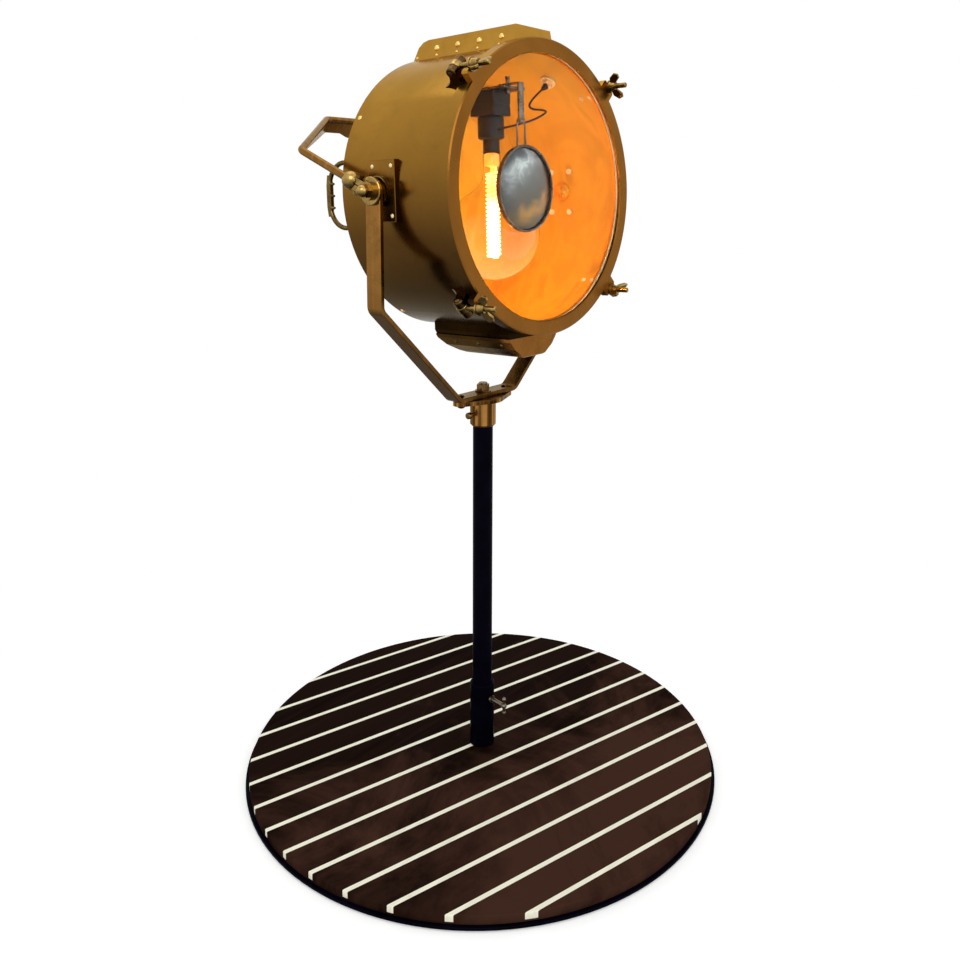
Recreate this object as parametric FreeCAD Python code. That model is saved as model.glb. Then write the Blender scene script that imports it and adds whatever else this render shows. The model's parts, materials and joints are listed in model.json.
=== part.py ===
import FreeCAD, Part
import math
import os

os.makedirs("parts", exist_ok=True)

V = FreeCAD.Vector
X = V(1, 0, 0)
Y = V(0, 1, 0)
Z = V(0, 0, 1)
O = V(0, 0, 0)

# Frame: the disc base stands on Z = 0 with its centre on the Z axis, the lamp looks along -Y
# and the trunnions lie along X. All lengths are in millimetres.

# General fits
RUN_GAP = 0.05          # radial gap of a shaft in its hole
CURVE_GAP = 0.3         # gap between curved faces that do not touch
FACE_GAP = 0.2          # gap between flat faces that turn against each other

# Base
DECK_R = 330.0
DECK_T = 11.0
PLINTH_R = 335.0
PLINTH_T = 4.0
FOOT_R = 16.0
FOOT_T = 1.5
FOOT_COUNT = 6
FOOT_RING_R = 290.0
STRIP_PITCH = 50.0
STRIP_W = 6.3
STRIP_DEPTH = 8.5
STRIP_COUNT = 13
STRIP_ANGLE = -14.7     # degrees from +X
DECK_ARRIS = 0.8
DECK_Z = FOOT_T + PLINTH_T
DECK_TOP = DECK_Z + DECK_T

# Post and its socket
POST_R = 14.0
POST_WALL = 2.0
SOCKET_R = 17.5
SOCKET_H = 94.0
SOCKET_FLANGE_R = 42.0
SOCKET_FLANGE_T = 3.0
SOCKET_SCREW_PCD = 60.0
SOCKET_SCREW_R = 2.5
SOCKET_SCREW_HEAD_R = 4.8
CLAMP_SCREW_H = 74.0    # above the deck
CLAMP_SCREW_ANGLE = -96.0
CLAMP_SCREW_R = 3.0
CLAMP_SCREW_OUT = 28.0  # length outside the socket
CLAMP_SCREW_BAR = 20.0

# Drum
DRUM_R = 181.0
DRUM_WALL = 1.6
DRUM_FRONT = -96.0
DRUM_BACK = 73.0
FOLD_IN = 12.0          # width of the drum's folded back edge
COVER_RIM_T = 4.0
COVER_FLAT_R = DRUM_R * 0.674
COVER_DOME = 22.0
COVER_T = 1.6
RIM_SCREW_COUNT = 4
RIM_SCREW_TURN = 59.0
RIM_SCREW_BACK = 5.5
RIM_SCREW_R = 1.6

# Head pivot and yoke
PIVOT_Z = 816.3
TILT = 2.2              # front of the lamp up, degrees
STRAP_W = 25.0
STRAP_T = 6.35
YOKE_OUT = 16.5         # middle of the strap, outside the drum
YOKE_X = DRUM_R + YOKE_OUT
YOKE_BEND_DOWN = 143.0
YOKE_CLEAR = 96.6       # middle of the yoke's bar, under the drum
YOKE_BAR_DOWN = DRUM_R + YOKE_CLEAR
YOKE_BAR_X = 57.0
YOKE_BEND_R = 13.0
STRAP_EDGE = 0.8

# Collar under the yoke
COLLAR_R = 18.0
COLLAR_H = 36.0
COLLAR_FLANGE_T = 6.0
COLLAR_FLANGE_R = 28.0
COLLAR_EAR_R = 11.0
COLLAR_EAR_X = 45.0
COLLAR_WEB = 9.0
STUD_R = 6.0
NUT_R = 9.2
NUT_H = 8.5
WASHER_T = 1.6
FLANGE_BOLT_R = 3.5
FLANGE_BOLT_HEAD_R = 7.0
SET_SCREW_UP = 18.475   # above the collar's foot
SET_SCREW_R = 2.5

# Front ring and glass
RING_R = DRUM_R + 6.0
OPENING_R = DRUM_R - 13.0
RING_FRONT = -110.0
RING_FACE_T = 3.5
RING_SKIRT = 4.0
GLASS_R = DRUM_R - 6.0
GLASS_T = 4.0
GASKET_T = 2.5
RETAINER_T = 2.4
RETAINER_R = DRUM_R - 2.0
RETAINER_SCREW_IN = 5.5
RETAINER_SCREW_R = 1.5
RETAINER_SCREW_TURN = 12.0

# Clamps on the ring
CLAMP_ANGLE = 44.5
CLAMP_OUT = 18.0        # clamp bolt, outside the drum
CLAMP_R = DRUM_R + CLAMP_OUT
CLAMP_PIN_Y = -86.0
LUG_W = 28.0
LUG_ROUND = 2.4
KNUCKLE_R = 7.0
LUG_BACK = -64.0
LUG_FRONT = -91.0
EYE_R = 8.0
EYE_W = 9.0
PIN_R = 3.0
EYEBOLT_R = 3.5
EYEBOLT_TIP = -137.0
EAR_HALF = 13.0
EAR_T = 9.0
SLOT_HALF = 4.1
WING_HUB_R = 7.6
WING_HUB_H = 11.0
WING_REACH = 18.0

# Trunnions
PAD_FACE = DRUM_R + 4.0
PAD_HALF_Y = 22.0
PAD_HALF_Z = 37.0
PAD_SCREW_Y = 16.0
PAD_SCREW_Z = 29.5
PAD_SCREW_R = 1.6
SHAFT_R = 6.0
DISC_R = 18.0
DISC_COUNT = 5
HUB_OUT = YOKE_X + 12.5
CAP_R = 9.0

# Bail handle
BAIL_ANGLE = 24.2       # above the lamp axis, in the lamp's own frame
BAIL_R = 4.8
BAIL_X = YOKE_X + STRAP_T / 2 + BAIL_R + 0.4
BAIL_BEND = 133.5
BAIL_BAR = DRUM_R + 92.0
BAIL_BAR_X = 57.0
BAIL_BEND_R = 14.0
WEB_DEPTH = 14.0        # web under the grip, below its rod
WEB_DROP = 6.0          # how much deeper the web is at its middle
WEB_T = 5.0
HUB_R = 17.0
HUB_RIM_T = 4.0
HUB_NECK_R = 11.0
HUB_BALL_R = 11.5
HUB_BALL_AT = 33.0
HUB_ARM_HALF = 8.0
PINCH_AT = 19.8
PINCH_R = 2.6

# Hood on top
HOOD_TOP = DRUM_R + 21.0
HOOD_FOOT = DRUM_R - 31.0    # inside the drum, where its curve cuts the hood off
HOOD_SPREAD = 24.0      # height over which the sides go from the top half width to the low one
HOOD_HALF_TOP = 35.0
HOOD_HALF_LOW = 41.5
HOOD_FRONT = -90.0
HOOD_BACK = 83.0
HOOD_BACK_TOP = 60.0
HOOD_T = 1.5
DOME_R = 4.2
DOME_PITCH = 37.0
DOME_FIRST = 41.5
DOME_DOWN = 13.0
RIVET_R = 2.0
RIVET_FIRST = 76.0
RIVET_DOWN = 22.4
RIVET_PITCH = 35.7

# Box underneath
BOX_HALF = 52.0
BOX_FLOOR_HALF = 20.0
BOX_LOW = DRUM_R + 35.0
BOX_HEAD = DRUM_R - 31.0
BOX_FRONT = -80.0
BOX_BACK = 49.0
BOX_SEAM = DRUM_R + 9.0
PAN_STEP = 1.2
BOX_T = 2.0

# Rear pull handle
PULL_X = 31.0 - DRUM_R
PULL_MIDDLE = -2.0      # height of the handle's middle
PULL_HALF = 42.0
PULL_OUT = 137.0
PULL_R = 3.2
PULL_GRIP_R = 4.6
PULL_GRIP_HALF = 27.0
PULL_CUSP = 4.2         # how far a cusp between two fingers stands out
PULL_CUSP_PITCH = 15.5
PULL_BEND_R = 30.0

# Lamp and fittings inside
LAMP_Y = -15.0
GLOBE_R = 62.5
GLOBE_Z = -56.0
GLOBE_WALL = 0.9
STEM_TIP = -30.0
STEM_FOOT = 36.0
FILAMENT_R = 8.0
FILAMENT_WIRE = 0.7
FILAMENT_PITCH = 8.0
FILAMENT_LOW = -88.0
FILAMENT_HIGH = 26.0
NECK_R = 12.0
NECK_LOW = 34.0
NECK_TOP = 50.0
BULB_CAP_R = 11.0
BULB_CAP_TOP = 84.0
HOLDER_LOW = 68.0
HOLDER_R = 17.6
HOLDER_BLOCK = 98.0
HOLDER_TOP = 129.0
HOLDER_HALF_X = 18.0
HOLDER_HALF_Y = 21.0
PLATE_T = 3.0
BRACKET_FRONT = 47.0    # front edge of the plate, before the lamp
BRACKET_BACK = 33.0
BRACKET_HALF = 17.0
MIRROR_R = 55.0
MIRROR_LIP = 0.6        # roll of the rim past the glass
MIRROR_X = -15.0
MIRROR_Y = -83.5
MIRROR_Z = 1.0
HANGER_X = MIRROR_X - 7.0
HANGER_W = 10.0
LEAD_R = 1.4
FITTING_ANGLE = 57.4
FITTING_Y = -39.0
FITTING_R = 4.5
VENT_HALF = 24.0        # half length of the slots under the hood
LOW_VENT_R = 16.0       # hole into the box underneath


def cyl(r, h, at, d):
    return Part.makeCylinder(r, h, at, d)


def ring(r_out, r_in, h, at, d):
    return cyl(r_out, h, at, d).cut(cyl(r_in, h, at, d))


def block(x0, x1, y0, y1, z0, z1):
    return Part.makeBox(x1 - x0, y1 - y0, z1 - z0, V(x0, y0, z0))


def spin(points, base, axis):
    """Full turn of a closed profile about an axis."""
    face = Part.Face(Part.makePolygon(points + [points[0]]))
    return face.revolve(base, axis, 360)


def turned(shape, base, axis, angle):
    out = shape.copy()
    out.rotate(base, axis, angle)
    return out


def mirrored_x(shape):
    return shape.mirror(O, X)


def both_sides(shape):
    return Part.makeCompound([shape, mirrored_x(shape)])


def fuse(shapes):
    out = shapes[0]
    for s in shapes[1:]:
        out = out.fuse(s)
    return out.removeSplitter()


def rounded_path(points, radius):
    """Straight runs joined by tangent arcs; radius is one value or one per corner."""
    radii = radius if isinstance(radius, list) else [radius] * (len(points) - 2)
    edges = []
    start = points[0]
    for i in range(1, len(points) - 1):
        a = (points[i - 1] - points[i]).normalize()
        b = (points[i + 1] - points[i]).normalize()
        half = a.getAngle(b) / 2
        reach = radii[i - 1] / math.tan(half)
        p = points[i] + a * reach
        q = points[i] + b * reach
        mid_dir = (a + b).normalize()
        centre = points[i] + mid_dir * (radii[i - 1] / math.sin(half))
        mid = centre - mid_dir * radii[i - 1]
        edges.append(Part.makeLine(start, p))
        edges.append(Part.Arc(p, mid, q).toShape())
        start = q
    edges.append(Part.makeLine(start, points[-1]))
    return Part.Wire(edges)


def sweep(path, profile):
    return path.makePipeShell([profile], True, False)


def round_bar(points, bend, r):
    path = rounded_path(points, bend)
    d = (points[1] - points[0]).normalize()
    profile = Part.Wire([Part.makeCircle(r, points[0], d)])
    return sweep(path, profile)


def strap_profile(centre, u, w, half_u, half_w, edge):
    """Rectangle with small chamfered corners, u and w being its two directions."""
    corners = []
    for su, sw, first in ((1, 1, True), (-1, 1, False), (-1, -1, True), (1, -1, False)):
        a = centre + u * (su * half_u) + w * (sw * (half_w - edge))
        b = centre + u * (su * (half_u - edge)) + w * (sw * half_w)
        corners += [a, b] if first else [b, a]
    return Part.makePolygon(corners + [corners[0]])


def on_head(shape):
    """Carry a shape from the lamp's own frame to its place on the pivot."""
    out = turned(shape, O, X, -TILT)
    out.translate(V(0, 0, PIVOT_Z))
    return out


def at_angle(shape, degrees):
    """Turn a shape built on +X about the lamp axis, up being positive."""
    return turned(shape, O, Y, -degrees)


def dome(r, h, at, d):
    """Shallow domed head on a flat base."""
    big = (r * r + h * h) / (2 * h)
    ball = Part.makeSphere(big, at + d * (h - big))
    return ball.common(cyl(r, h + 0.1, at, d))


def hex_nut(r, h, at, d, hole):
    u = d.cross(Y if abs(d.y) < 0.9 else X).normalize()
    w = d.cross(u).normalize()
    pts = []
    for i in range(6):
        t = math.radians(60 * i + 30)
        pts.append(at + u * (r * math.cos(t)) + w * (r * math.sin(t)))
    prism = Part.Face(Part.makePolygon(pts + [pts[0]])).extrude(d * h)
    trim = Part.makeCone(r * 0.93, r * 0.93 + h, h, at, d)
    out = prism.common(trim)
    if hole:
        out = out.cut(cyl(hole, h, at, d))
    return out


def save(name, shape):
    shape.exportStep("parts/" + name + ".step")


# Base


def foot_pads():
    pads = []
    for i in range(FOOT_COUNT):
        t = math.radians(360.0 * i / FOOT_COUNT)
        at = V(FOOT_RING_R * math.cos(t), FOOT_RING_R * math.sin(t), 0)
        pads.append(cyl(FOOT_R, FOOT_T, at, Z))
    return Part.makeCompound(pads)


def socket_screw_spots():
    spots = []
    for i in range(4):
        t = math.radians(45 + 90 * i)
        spots.append((SOCKET_SCREW_PCD / 2 * math.cos(t), SOCKET_SCREW_PCD / 2 * math.sin(t)))
    return spots


def plinth():
    body = cyl(PLINTH_R, PLINTH_T, V(0, 0, FOOT_T), Z)
    rim = [e for e in body.Edges if e.Length > PLINTH_R and len(e.Vertexes) == 1]
    body = body.makeChamfer(0.6, rim)
    for x, y in socket_screw_spots():
        at = V(x, y, FOOT_T)
        body = body.cut(cyl(SOCKET_SCREW_R + RUN_GAP, PLINTH_T, at, Z))
        body = body.cut(Part.makeCone(SOCKET_SCREW_HEAD_R + RUN_GAP, SOCKET_SCREW_R + RUN_GAP, 2.6, at, Z))
    return body


def strip_bars():
    bars = []
    for i in range(STRIP_COUNT):
        offset = (i - (STRIP_COUNT - 1) / 2) * STRIP_PITCH
        bar = block(-DECK_R - 5, DECK_R + 5, offset - STRIP_W / 2, offset + STRIP_W / 2,
                    DECK_TOP - STRIP_DEPTH, DECK_TOP)
        bars.append(turned(bar, O, Z, STRIP_ANGLE))
    return Part.makeCompound(bars)


def deck_blank():
    body = cyl(DECK_R, DECK_T, V(0, 0, DECK_Z), Z)
    top = [e for e in body.Edges if e.Length > DECK_R and e.BoundBox.ZMin > DECK_TOP - 0.1]
    body = body.makeChamfer(DECK_ARRIS, top)
    body = body.cut(cyl(SOCKET_R + CURVE_GAP, DECK_T, V(0, 0, DECK_Z), Z))
    recess = cyl(SOCKET_FLANGE_R + CURVE_GAP, SOCKET_FLANGE_T - 0.5, V(0, 0, DECK_Z), Z)
    return body.cut(recess)


def deck_planks():
    return deck_blank().cut(strip_bars())


def deck_strips():
    return strip_bars().common(deck_blank())


def post_socket():
    bore = POST_R + RUN_GAP
    rim = 1.2
    z0 = DECK_Z
    z1 = DECK_TOP + SOCKET_H
    flange = SOCKET_FLANGE_T - 0.5
    points = [V(bore, 0, z0), V(SOCKET_FLANGE_R, 0, z0), V(SOCKET_FLANGE_R, 0, z0 + flange),
              V(SOCKET_R, 0, z0 + flange), V(SOCKET_R, 0, z1 - rim), V(SOCKET_R - rim, 0, z1),
              V(bore, 0, z1)]
    body = spin(points, O, Z)
    for x, y in socket_screw_spots():
        body = body.cut(cyl(SOCKET_SCREW_R + RUN_GAP, flange, V(x, y, z0), Z))
    d = clamp_screw_dir()
    return body.cut(cyl(CLAMP_SCREW_R + RUN_GAP, SOCKET_R + 5, V(0, 0, DECK_TOP + CLAMP_SCREW_H), d))


def socket_screws():
    screws = []
    for x, y in socket_screw_spots():
        at = V(x, y, FOOT_T)
        head = Part.makeCone(SOCKET_SCREW_HEAD_R, SOCKET_SCREW_R, 2.6, at, Z)
        shank = cyl(SOCKET_SCREW_R, PLINTH_T + SOCKET_FLANGE_T - 0.5, at, Z)
        slot = block(x - 6, x + 6, y - 0.6, y + 0.6, FOOT_T, FOOT_T + 1.0)
        screws.append(head.fuse(shank).cut(slot))
    return Part.makeCompound(screws)


def clamp_screw_dir():
    t = math.radians(CLAMP_SCREW_ANGLE)
    return V(math.cos(t), math.sin(t), 0)


def clamp_screw():
    d = clamp_screw_dir()
    base = V(0, 0, DECK_TOP + CLAMP_SCREW_H)
    inner = POST_R + CURVE_GAP
    reach = SOCKET_R + CLAMP_SCREW_OUT
    half = CLAMP_SCREW_BAR / 2
    shank = cyl(CLAMP_SCREW_R, reach - inner, base + d * inner, d)
    collar = cyl(1.7 * CLAMP_SCREW_R, 3.0, base + d * (SOCKET_R + 2), d)
    eye = Part.makeSphere(1.3 * CLAMP_SCREW_R, base + d * reach)
    bar = cyl(0.7 * CLAMP_SCREW_R, 2 * half, base + d * reach - Z * half, Z)
    tips = [Part.makeSphere(CLAMP_SCREW_R, base + d * reach + Z * s) for s in (-half, half)]
    return fuse([shank, collar, eye, bar] + tips)


# Post, collar and yoke


def collar_levels():
    bar_low = PIVOT_Z - YOKE_BAR_DOWN - STRAP_T / 2
    flange_low = bar_low - COLLAR_FLANGE_T
    collar_low = flange_low - COLLAR_H
    return collar_low, flange_low, bar_low


def set_screw_height():
    return collar_levels()[0] + SET_SCREW_UP


def post_top():
    return collar_levels()[2] - COLLAR_WEB


def post():
    z0 = DECK_Z
    z1 = post_top()
    tube = ring(POST_R, POST_R - POST_WALL, z1 - z0, V(0, 0, z0), Z)
    return tube.makeChamfer(0.5, [e for e in tube.Edges if e.BoundBox.ZMin > z1 - 0.1 and e.Length > 85])


def post_plug():
    z1 = post_top()
    body = cyl(POST_R - POST_WALL, 20.0, V(0, 0, z1 - 20), Z)
    top = collar_levels()[2] + STRAP_T + WASHER_T + NUT_H + 2.5
    stud = cyl(STUD_R, top - z1 + 1, V(0, 0, z1 - 1), Z)
    return body.fuse(stud).removeSplitter()


def post_nut():
    low = collar_levels()[2] + STRAP_T
    washer = ring(11.0, STUD_R, WASHER_T - FACE_GAP, V(0, 0, low + FACE_GAP), Z)
    nut = hex_nut(NUT_R, NUT_H, V(0, 0, low + WASHER_T), Z, STUD_R)
    return fuse([washer, nut])


def yoke_collar():
    low, flange, top = collar_levels()
    bore = POST_R + RUN_GAP
    points = [V(bore, 0, low), V(COLLAR_R - 2.4, 0, low), V(COLLAR_R, 0, low + 2.6),
              V(COLLAR_R, 0, top), V(STUD_R + RUN_GAP, 0, top),
              V(STUD_R + RUN_GAP, 0, top - COLLAR_WEB), V(bore, 0, top - COLLAR_WEB)]
    body = spin(points, O, Z)
    disc = cyl(COLLAR_FLANGE_R, COLLAR_FLANGE_T, V(0, 0, flange), Z)
    plate = [disc]
    for s in (-1, 1):
        plate.append(cyl(COLLAR_EAR_R, COLLAR_FLANGE_T, V(s * COLLAR_EAR_X, 0, flange), Z))
        tangent = math.asin((COLLAR_FLANGE_R - COLLAR_EAR_R) / COLLAR_EAR_X)
        u = V(s * math.sin(tangent), math.cos(tangent), 0)
        w = V(s * math.sin(tangent), -math.cos(tangent), 0)
        c = V(0, 0, flange)
        e = V(s * COLLAR_EAR_X, 0, flange)
        pts = [c + u * COLLAR_FLANGE_R, e + u * COLLAR_EAR_R, e + w * COLLAR_EAR_R, c + w * COLLAR_FLANGE_R]
        plate.append(Part.Face(Part.makePolygon(pts + [pts[0]])).extrude(Z * COLLAR_FLANGE_T))
    plate = fuse(plate).cut(cyl(POST_R + 2, COLLAR_FLANGE_T, V(0, 0, flange), Z))
    body = fuse([body, plate])
    for s in (-1, 1):
        body = body.cut(cyl(FLANGE_BOLT_R, COLLAR_FLANGE_T, V(s * COLLAR_EAR_X, 0, flange), Z))
    return body.cut(cyl(SET_SCREW_R + RUN_GAP, COLLAR_R + 4, Z * set_screw_height(), X * -1))


def flange_bolts():
    low, flange, top = collar_levels()
    bolts = []
    for s in (-1, 1):
        at = V(s * COLLAR_EAR_X, 0, flange)
        head = dome(FLANGE_BOLT_HEAD_R, 4.5, at, Z * -1)
        shank = cyl(FLANGE_BOLT_R, COLLAR_FLANGE_T + STRAP_T + 4, at, Z)
        tail = dome(5.0, 2.6, V(s * COLLAR_EAR_X, 0, top + STRAP_T), Z)
        shank = shank.cut(cyl(20, 10, V(s * COLLAR_EAR_X, 0, top + STRAP_T + 2.0), Z))
        bolts.append(fuse([head, shank, tail]))
    return Part.makeCompound(bolts)


def set_screw():
    base = Z * set_screw_height()
    d = X * -1
    inner = POST_R + CURVE_GAP
    shank = cyl(SET_SCREW_R, COLLAR_R + 9 - inner, base + d * inner, d)
    head = cyl(4.6, 6.5, base + d * (COLLAR_R + 8), d)
    head = head.makeFillet(1.6, [e for e in head.Edges if e.Length > 20])
    return fuse([shank, head])


def yoke():
    pts = [V(-YOKE_X, 0, 0), V(-YOKE_X, 0, -YOKE_BEND_DOWN), V(-YOKE_BAR_X, 0, -YOKE_BAR_DOWN),
           V(YOKE_BAR_X, 0, -YOKE_BAR_DOWN), V(YOKE_X, 0, -YOKE_BEND_DOWN), V(YOKE_X, 0, 0)]
    path = rounded_path(pts, YOKE_BEND_R)
    bar = sweep(path, strap_profile(pts[0], X, Y, STRAP_T / 2, STRAP_W / 2, STRAP_EDGE))
    ends = []
    for s in (-1, 1):
        ends.append(cyl(STRAP_W / 2, STRAP_T, V(s * YOKE_X - STRAP_T / 2, 0, 0), X))
    body = fuse([bar] + ends)
    body.translate(V(0, 0, PIVOT_Z))
    for s in (-1, 1):
        body = body.cut(cyl(SHAFT_R + RUN_GAP, 20, V(s * YOKE_X - 10, 0, PIVOT_Z), X))
        body = body.cut(cyl(FLANGE_BOLT_R, 20, V(s * COLLAR_EAR_X, 0, PIVOT_Z - YOKE_BAR_DOWN - 10), Z))
    return body.cut(cyl(STUD_R + RUN_GAP, 20, V(0, 0, PIVOT_Z - YOKE_BAR_DOWN - 10), Z))


# Drum, cover, ring and glass, in the lamp's own frame


def fitting_dir():
    t = math.radians(FITTING_ANGLE)
    return V(math.cos(t), 0, math.sin(t))


def drum_shell():
    inner = DRUM_R - DRUM_WALL
    fold = inner - FOLD_IN
    pts = [V(inner, DRUM_FRONT, 0), V(DRUM_R, DRUM_FRONT, 0), V(DRUM_R, DRUM_BACK, 0),
           V(fold, DRUM_BACK, 0), V(fold, DRUM_BACK - DRUM_WALL, 0), V(inner, DRUM_BACK - DRUM_WALL, 0)]
    shell = spin(pts, O, Y)
    cuts = []
    for s in (-1, 1):
        cuts.append(cyl(SHAFT_R, 20, V(s * DRUM_R - 10, 0, 0), X))
    for i in range(4):
        y = DOME_FIRST - i * DOME_PITCH
        cuts.append(block(-VENT_HALF, VENT_HALF, y - 4, y + 4, DRUM_R - 12, DRUM_R + 10))
    cuts.append(cyl(LOW_VENT_R, 30, V(0, LAMP_Y, -DRUM_R - 15), Z))
    d = fitting_dir()
    cuts.append(cyl(FITTING_R, 20, d * (DRUM_R - 10) + Y * FITTING_Y, d))
    for c in cuts:
        shell = shell.cut(c)
    return shell


def back_cover():
    y0 = DRUM_BACK
    rim = DRUM_BACK + COVER_RIM_T
    t = COVER_T
    swell = [(0.0, 1.0), (0.25, 0.97), (0.5, 0.86), (0.7, 0.66), (0.85, 0.36), (1.0, 0.0)]
    under = [V(COVER_FLAT_R * r, y0 + COVER_DOME * h, 0) for r, h in swell]
    over = [V(COVER_FLAT_R * r + 0.6 * r, y0 + COVER_DOME * h + t, 0) for r, h in reversed(swell)]
    edge = [V(DRUM_R, y0, 0), V(DRUM_R, rim - 1, 0), V(DRUM_R - 1, rim, 0), V(DRUM_R - 4, rim, 0),
            V(DRUM_R - 5, y0 + t, 0)]
    body = spin(under + edge + over, O, Y)
    for z in pull_ends():
        body = body.cut(cyl(PULL_R, 10, V(PULL_X, y0 - 1, z), Y))
    return body


def rim_screw_angles():
    step = 360.0 / RIM_SCREW_COUNT
    return [RIM_SCREW_TURN + step * i for i in range(RIM_SCREW_COUNT)]


def rim_screws():
    screws = []
    for angle in rim_screw_angles():
        at = V(DRUM_R, DRUM_BACK - RIM_SCREW_BACK, 0)
        screw = fuse([dome(2 * RIM_SCREW_R, 1.8, at, X), cyl(RIM_SCREW_R, 5, at - X * 4.9, X)])
        screws.append(at_angle(screw, angle))
    return Part.makeCompound(screws)


def drum_screw_holes(shell):
    for angle in rim_screw_angles():
        hole = cyl(RIM_SCREW_R, 6, V(DRUM_R - 5, DRUM_BACK - RIM_SCREW_BACK, 0), X)
        shell = shell.cut(at_angle(hole, angle))
    return shell


def front_ring():
    y0 = RING_FRONT
    y1 = RING_FRONT + RING_FACE_T
    back = DRUM_FRONT + RING_SKIRT
    skirt = DRUM_R + CURVE_GAP
    pts = [V(OPENING_R + 1.4, y0, 0), V(RING_R - 1.6, y0, 0), V(RING_R, y0 + 1.6, 0), V(RING_R, back, 0),
           V(skirt, back, 0), V(skirt, y1, 0), V(OPENING_R, y1, 0), V(OPENING_R, y0 + 1.4, 0)]
    body = spin(pts, O, Y)
    for a in clamp_angles():
        ear = block(RING_R - 3, CLAMP_R, y0, y0 + EAR_T, -EAR_HALF, EAR_HALF)
        upright = [e for e in ear.Edges if abs(e.Vertexes[0].X - CLAMP_R) < 0.1
                   and abs(e.Vertexes[1].X - CLAMP_R) < 0.1 and abs(e.Vertexes[0].Y - e.Vertexes[1].Y) > 1]
        ear = ear.makeFillet(3.0, upright)
        body = body.fuse(at_angle(ear, a))
    for a in clamp_angles():
        slot = block(CLAMP_R - SLOT_HALF, CLAMP_R + 5, y0 - 1, back + 1, -SLOT_HALF, SLOT_HALF)
        root = cyl(SLOT_HALF, back - y0 + 2, V(CLAMP_R, y0 - 1, 0), Y)
        tool = slot.common(root).fuse(block(CLAMP_R, CLAMP_R + 5, y0 - 1, back + 1, -SLOT_HALF, SLOT_HALF))
        body = body.cut(at_angle(tool, a))
    return body.removeSplitter()


def front_glass():
    return cyl(GLASS_R, GLASS_T, V(0, RING_FRONT + RING_FACE_T, 0), Y)


def glass_gasket():
    y = RING_FRONT + RING_FACE_T + GLASS_T
    return ring(GLASS_R, OPENING_R + 2, GASKET_T, V(0, y, 0), Y)


def retainer_y():
    return RING_FRONT + RING_FACE_T + GLASS_T + GASKET_T


def retainer_screw_angles():
    return [RETAINER_SCREW_TURN + 45 * i for i in range(8)]


def glass_retainer():
    body = ring(RETAINER_R, OPENING_R, RETAINER_T, V(0, retainer_y(), 0), Y)
    for angle in retainer_screw_angles():
        at = V(RETAINER_R - RETAINER_SCREW_IN, retainer_y(), 0)
        body = body.cut(at_angle(cyl(RETAINER_SCREW_R, RETAINER_T, at, Y), angle))
    return body


def retainer_screws():
    screws = []
    for angle in retainer_screw_angles():
        at = V(RETAINER_R - RETAINER_SCREW_IN, retainer_y() + RETAINER_T, 0)
        screw = dome(2.8, 1.6, at, Y).fuse(cyl(RETAINER_SCREW_R, RETAINER_T, at - Y * RETAINER_T, Y))
        screws.append(at_angle(screw, angle))
    return Part.makeCompound(screws)


# Clamps, built on +X and turned to their angles


def clamp_angles():
    return [CLAMP_ANGLE, 180 - CLAMP_ANGLE, 180 + CLAMP_ANGLE, 360 - CLAMP_ANGLE]


def one_lug():
    """Cast lug: a body with a hollow back and a wider rounded knuckle, slotted for the eyebolt."""
    low = LUG_ROUND - LUG_W / 2
    rise = CLAMP_R - DRUM_R
    foot = V(DRUM_R - 4, LUG_FRONT, low)
    neck = V(RING_R + CURVE_GAP, LUG_FRONT, low)
    front = V(CLAMP_R, CLAMP_PIN_Y - KNUCKLE_R, low)
    top = V(CLAMP_R + KNUCKLE_R, CLAMP_PIN_Y, low)
    back = V(CLAMP_R, CLAMP_PIN_Y + KNUCKLE_R, low)
    heel = V(DRUM_R, LUG_BACK, low)
    hollow = V(DRUM_R + 0.35 * rise, CLAMP_PIN_Y + KNUCKLE_R + 0.2 * rise, low)
    tail = V(DRUM_R - 4, LUG_BACK, low)
    outline = Part.Wire([
        Part.makeLine(foot, neck), Part.makeLine(neck, front),
        Part.Arc(front, top, back).toShape(), Part.Arc(back, hollow, heel).toShape(),
        Part.makeLine(heel, tail), Part.makeLine(tail, foot)])
    body = Part.Face(outline).extrude(Z * -2 * low)
    knuckle = cyl(KNUCKLE_R, LUG_W, V(CLAMP_R, CLAMP_PIN_Y, -LUG_W / 2), Z)
    knuckle = knuckle.makeFillet(LUG_ROUND, [e for e in knuckle.Edges if len(e.Vertexes) == 1])
    body = fuse([body, knuckle])
    half = EYE_W / 2 + FACE_GAP
    body = body.cut(block(CLAMP_R - 10, CLAMP_R + 20, LUG_FRONT - 5, LUG_BACK + 5, -half, half))
    body = body.cut(cyl(PIN_R, LUG_W, V(CLAMP_R, CLAMP_PIN_Y, -LUG_W / 2), Z))
    return body.cut(cyl(DRUM_R, 200, V(0, -150, 0), Y))


def clamp_lugs():
    return Part.makeCompound([at_angle(one_lug(), a) for a in clamp_angles()])


def clamp_pins():
    pin = cyl(PIN_R, LUG_W, V(CLAMP_R, CLAMP_PIN_Y, -LUG_W / 2), Z)
    top = dome(3.8, 1.2, V(CLAMP_R, CLAMP_PIN_Y, LUG_W / 2), Z)
    low = dome(3.8, 1.2, V(CLAMP_R, CLAMP_PIN_Y, -LUG_W / 2), Z * -1)
    one = fuse([pin, top, low])
    return Part.makeCompound([at_angle(one, a) for a in clamp_angles()])


def lug_rivets():
    rivets = []
    for a in clamp_angles():
        for y in (-72.0, -86.0):
            at = V(DRUM_R - DRUM_WALL - 0.05, y, 0)
            rivets.append(at_angle(dome(3.4, 1.8, at, X * -1), a))
    return Part.makeCompound(rivets)


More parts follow.
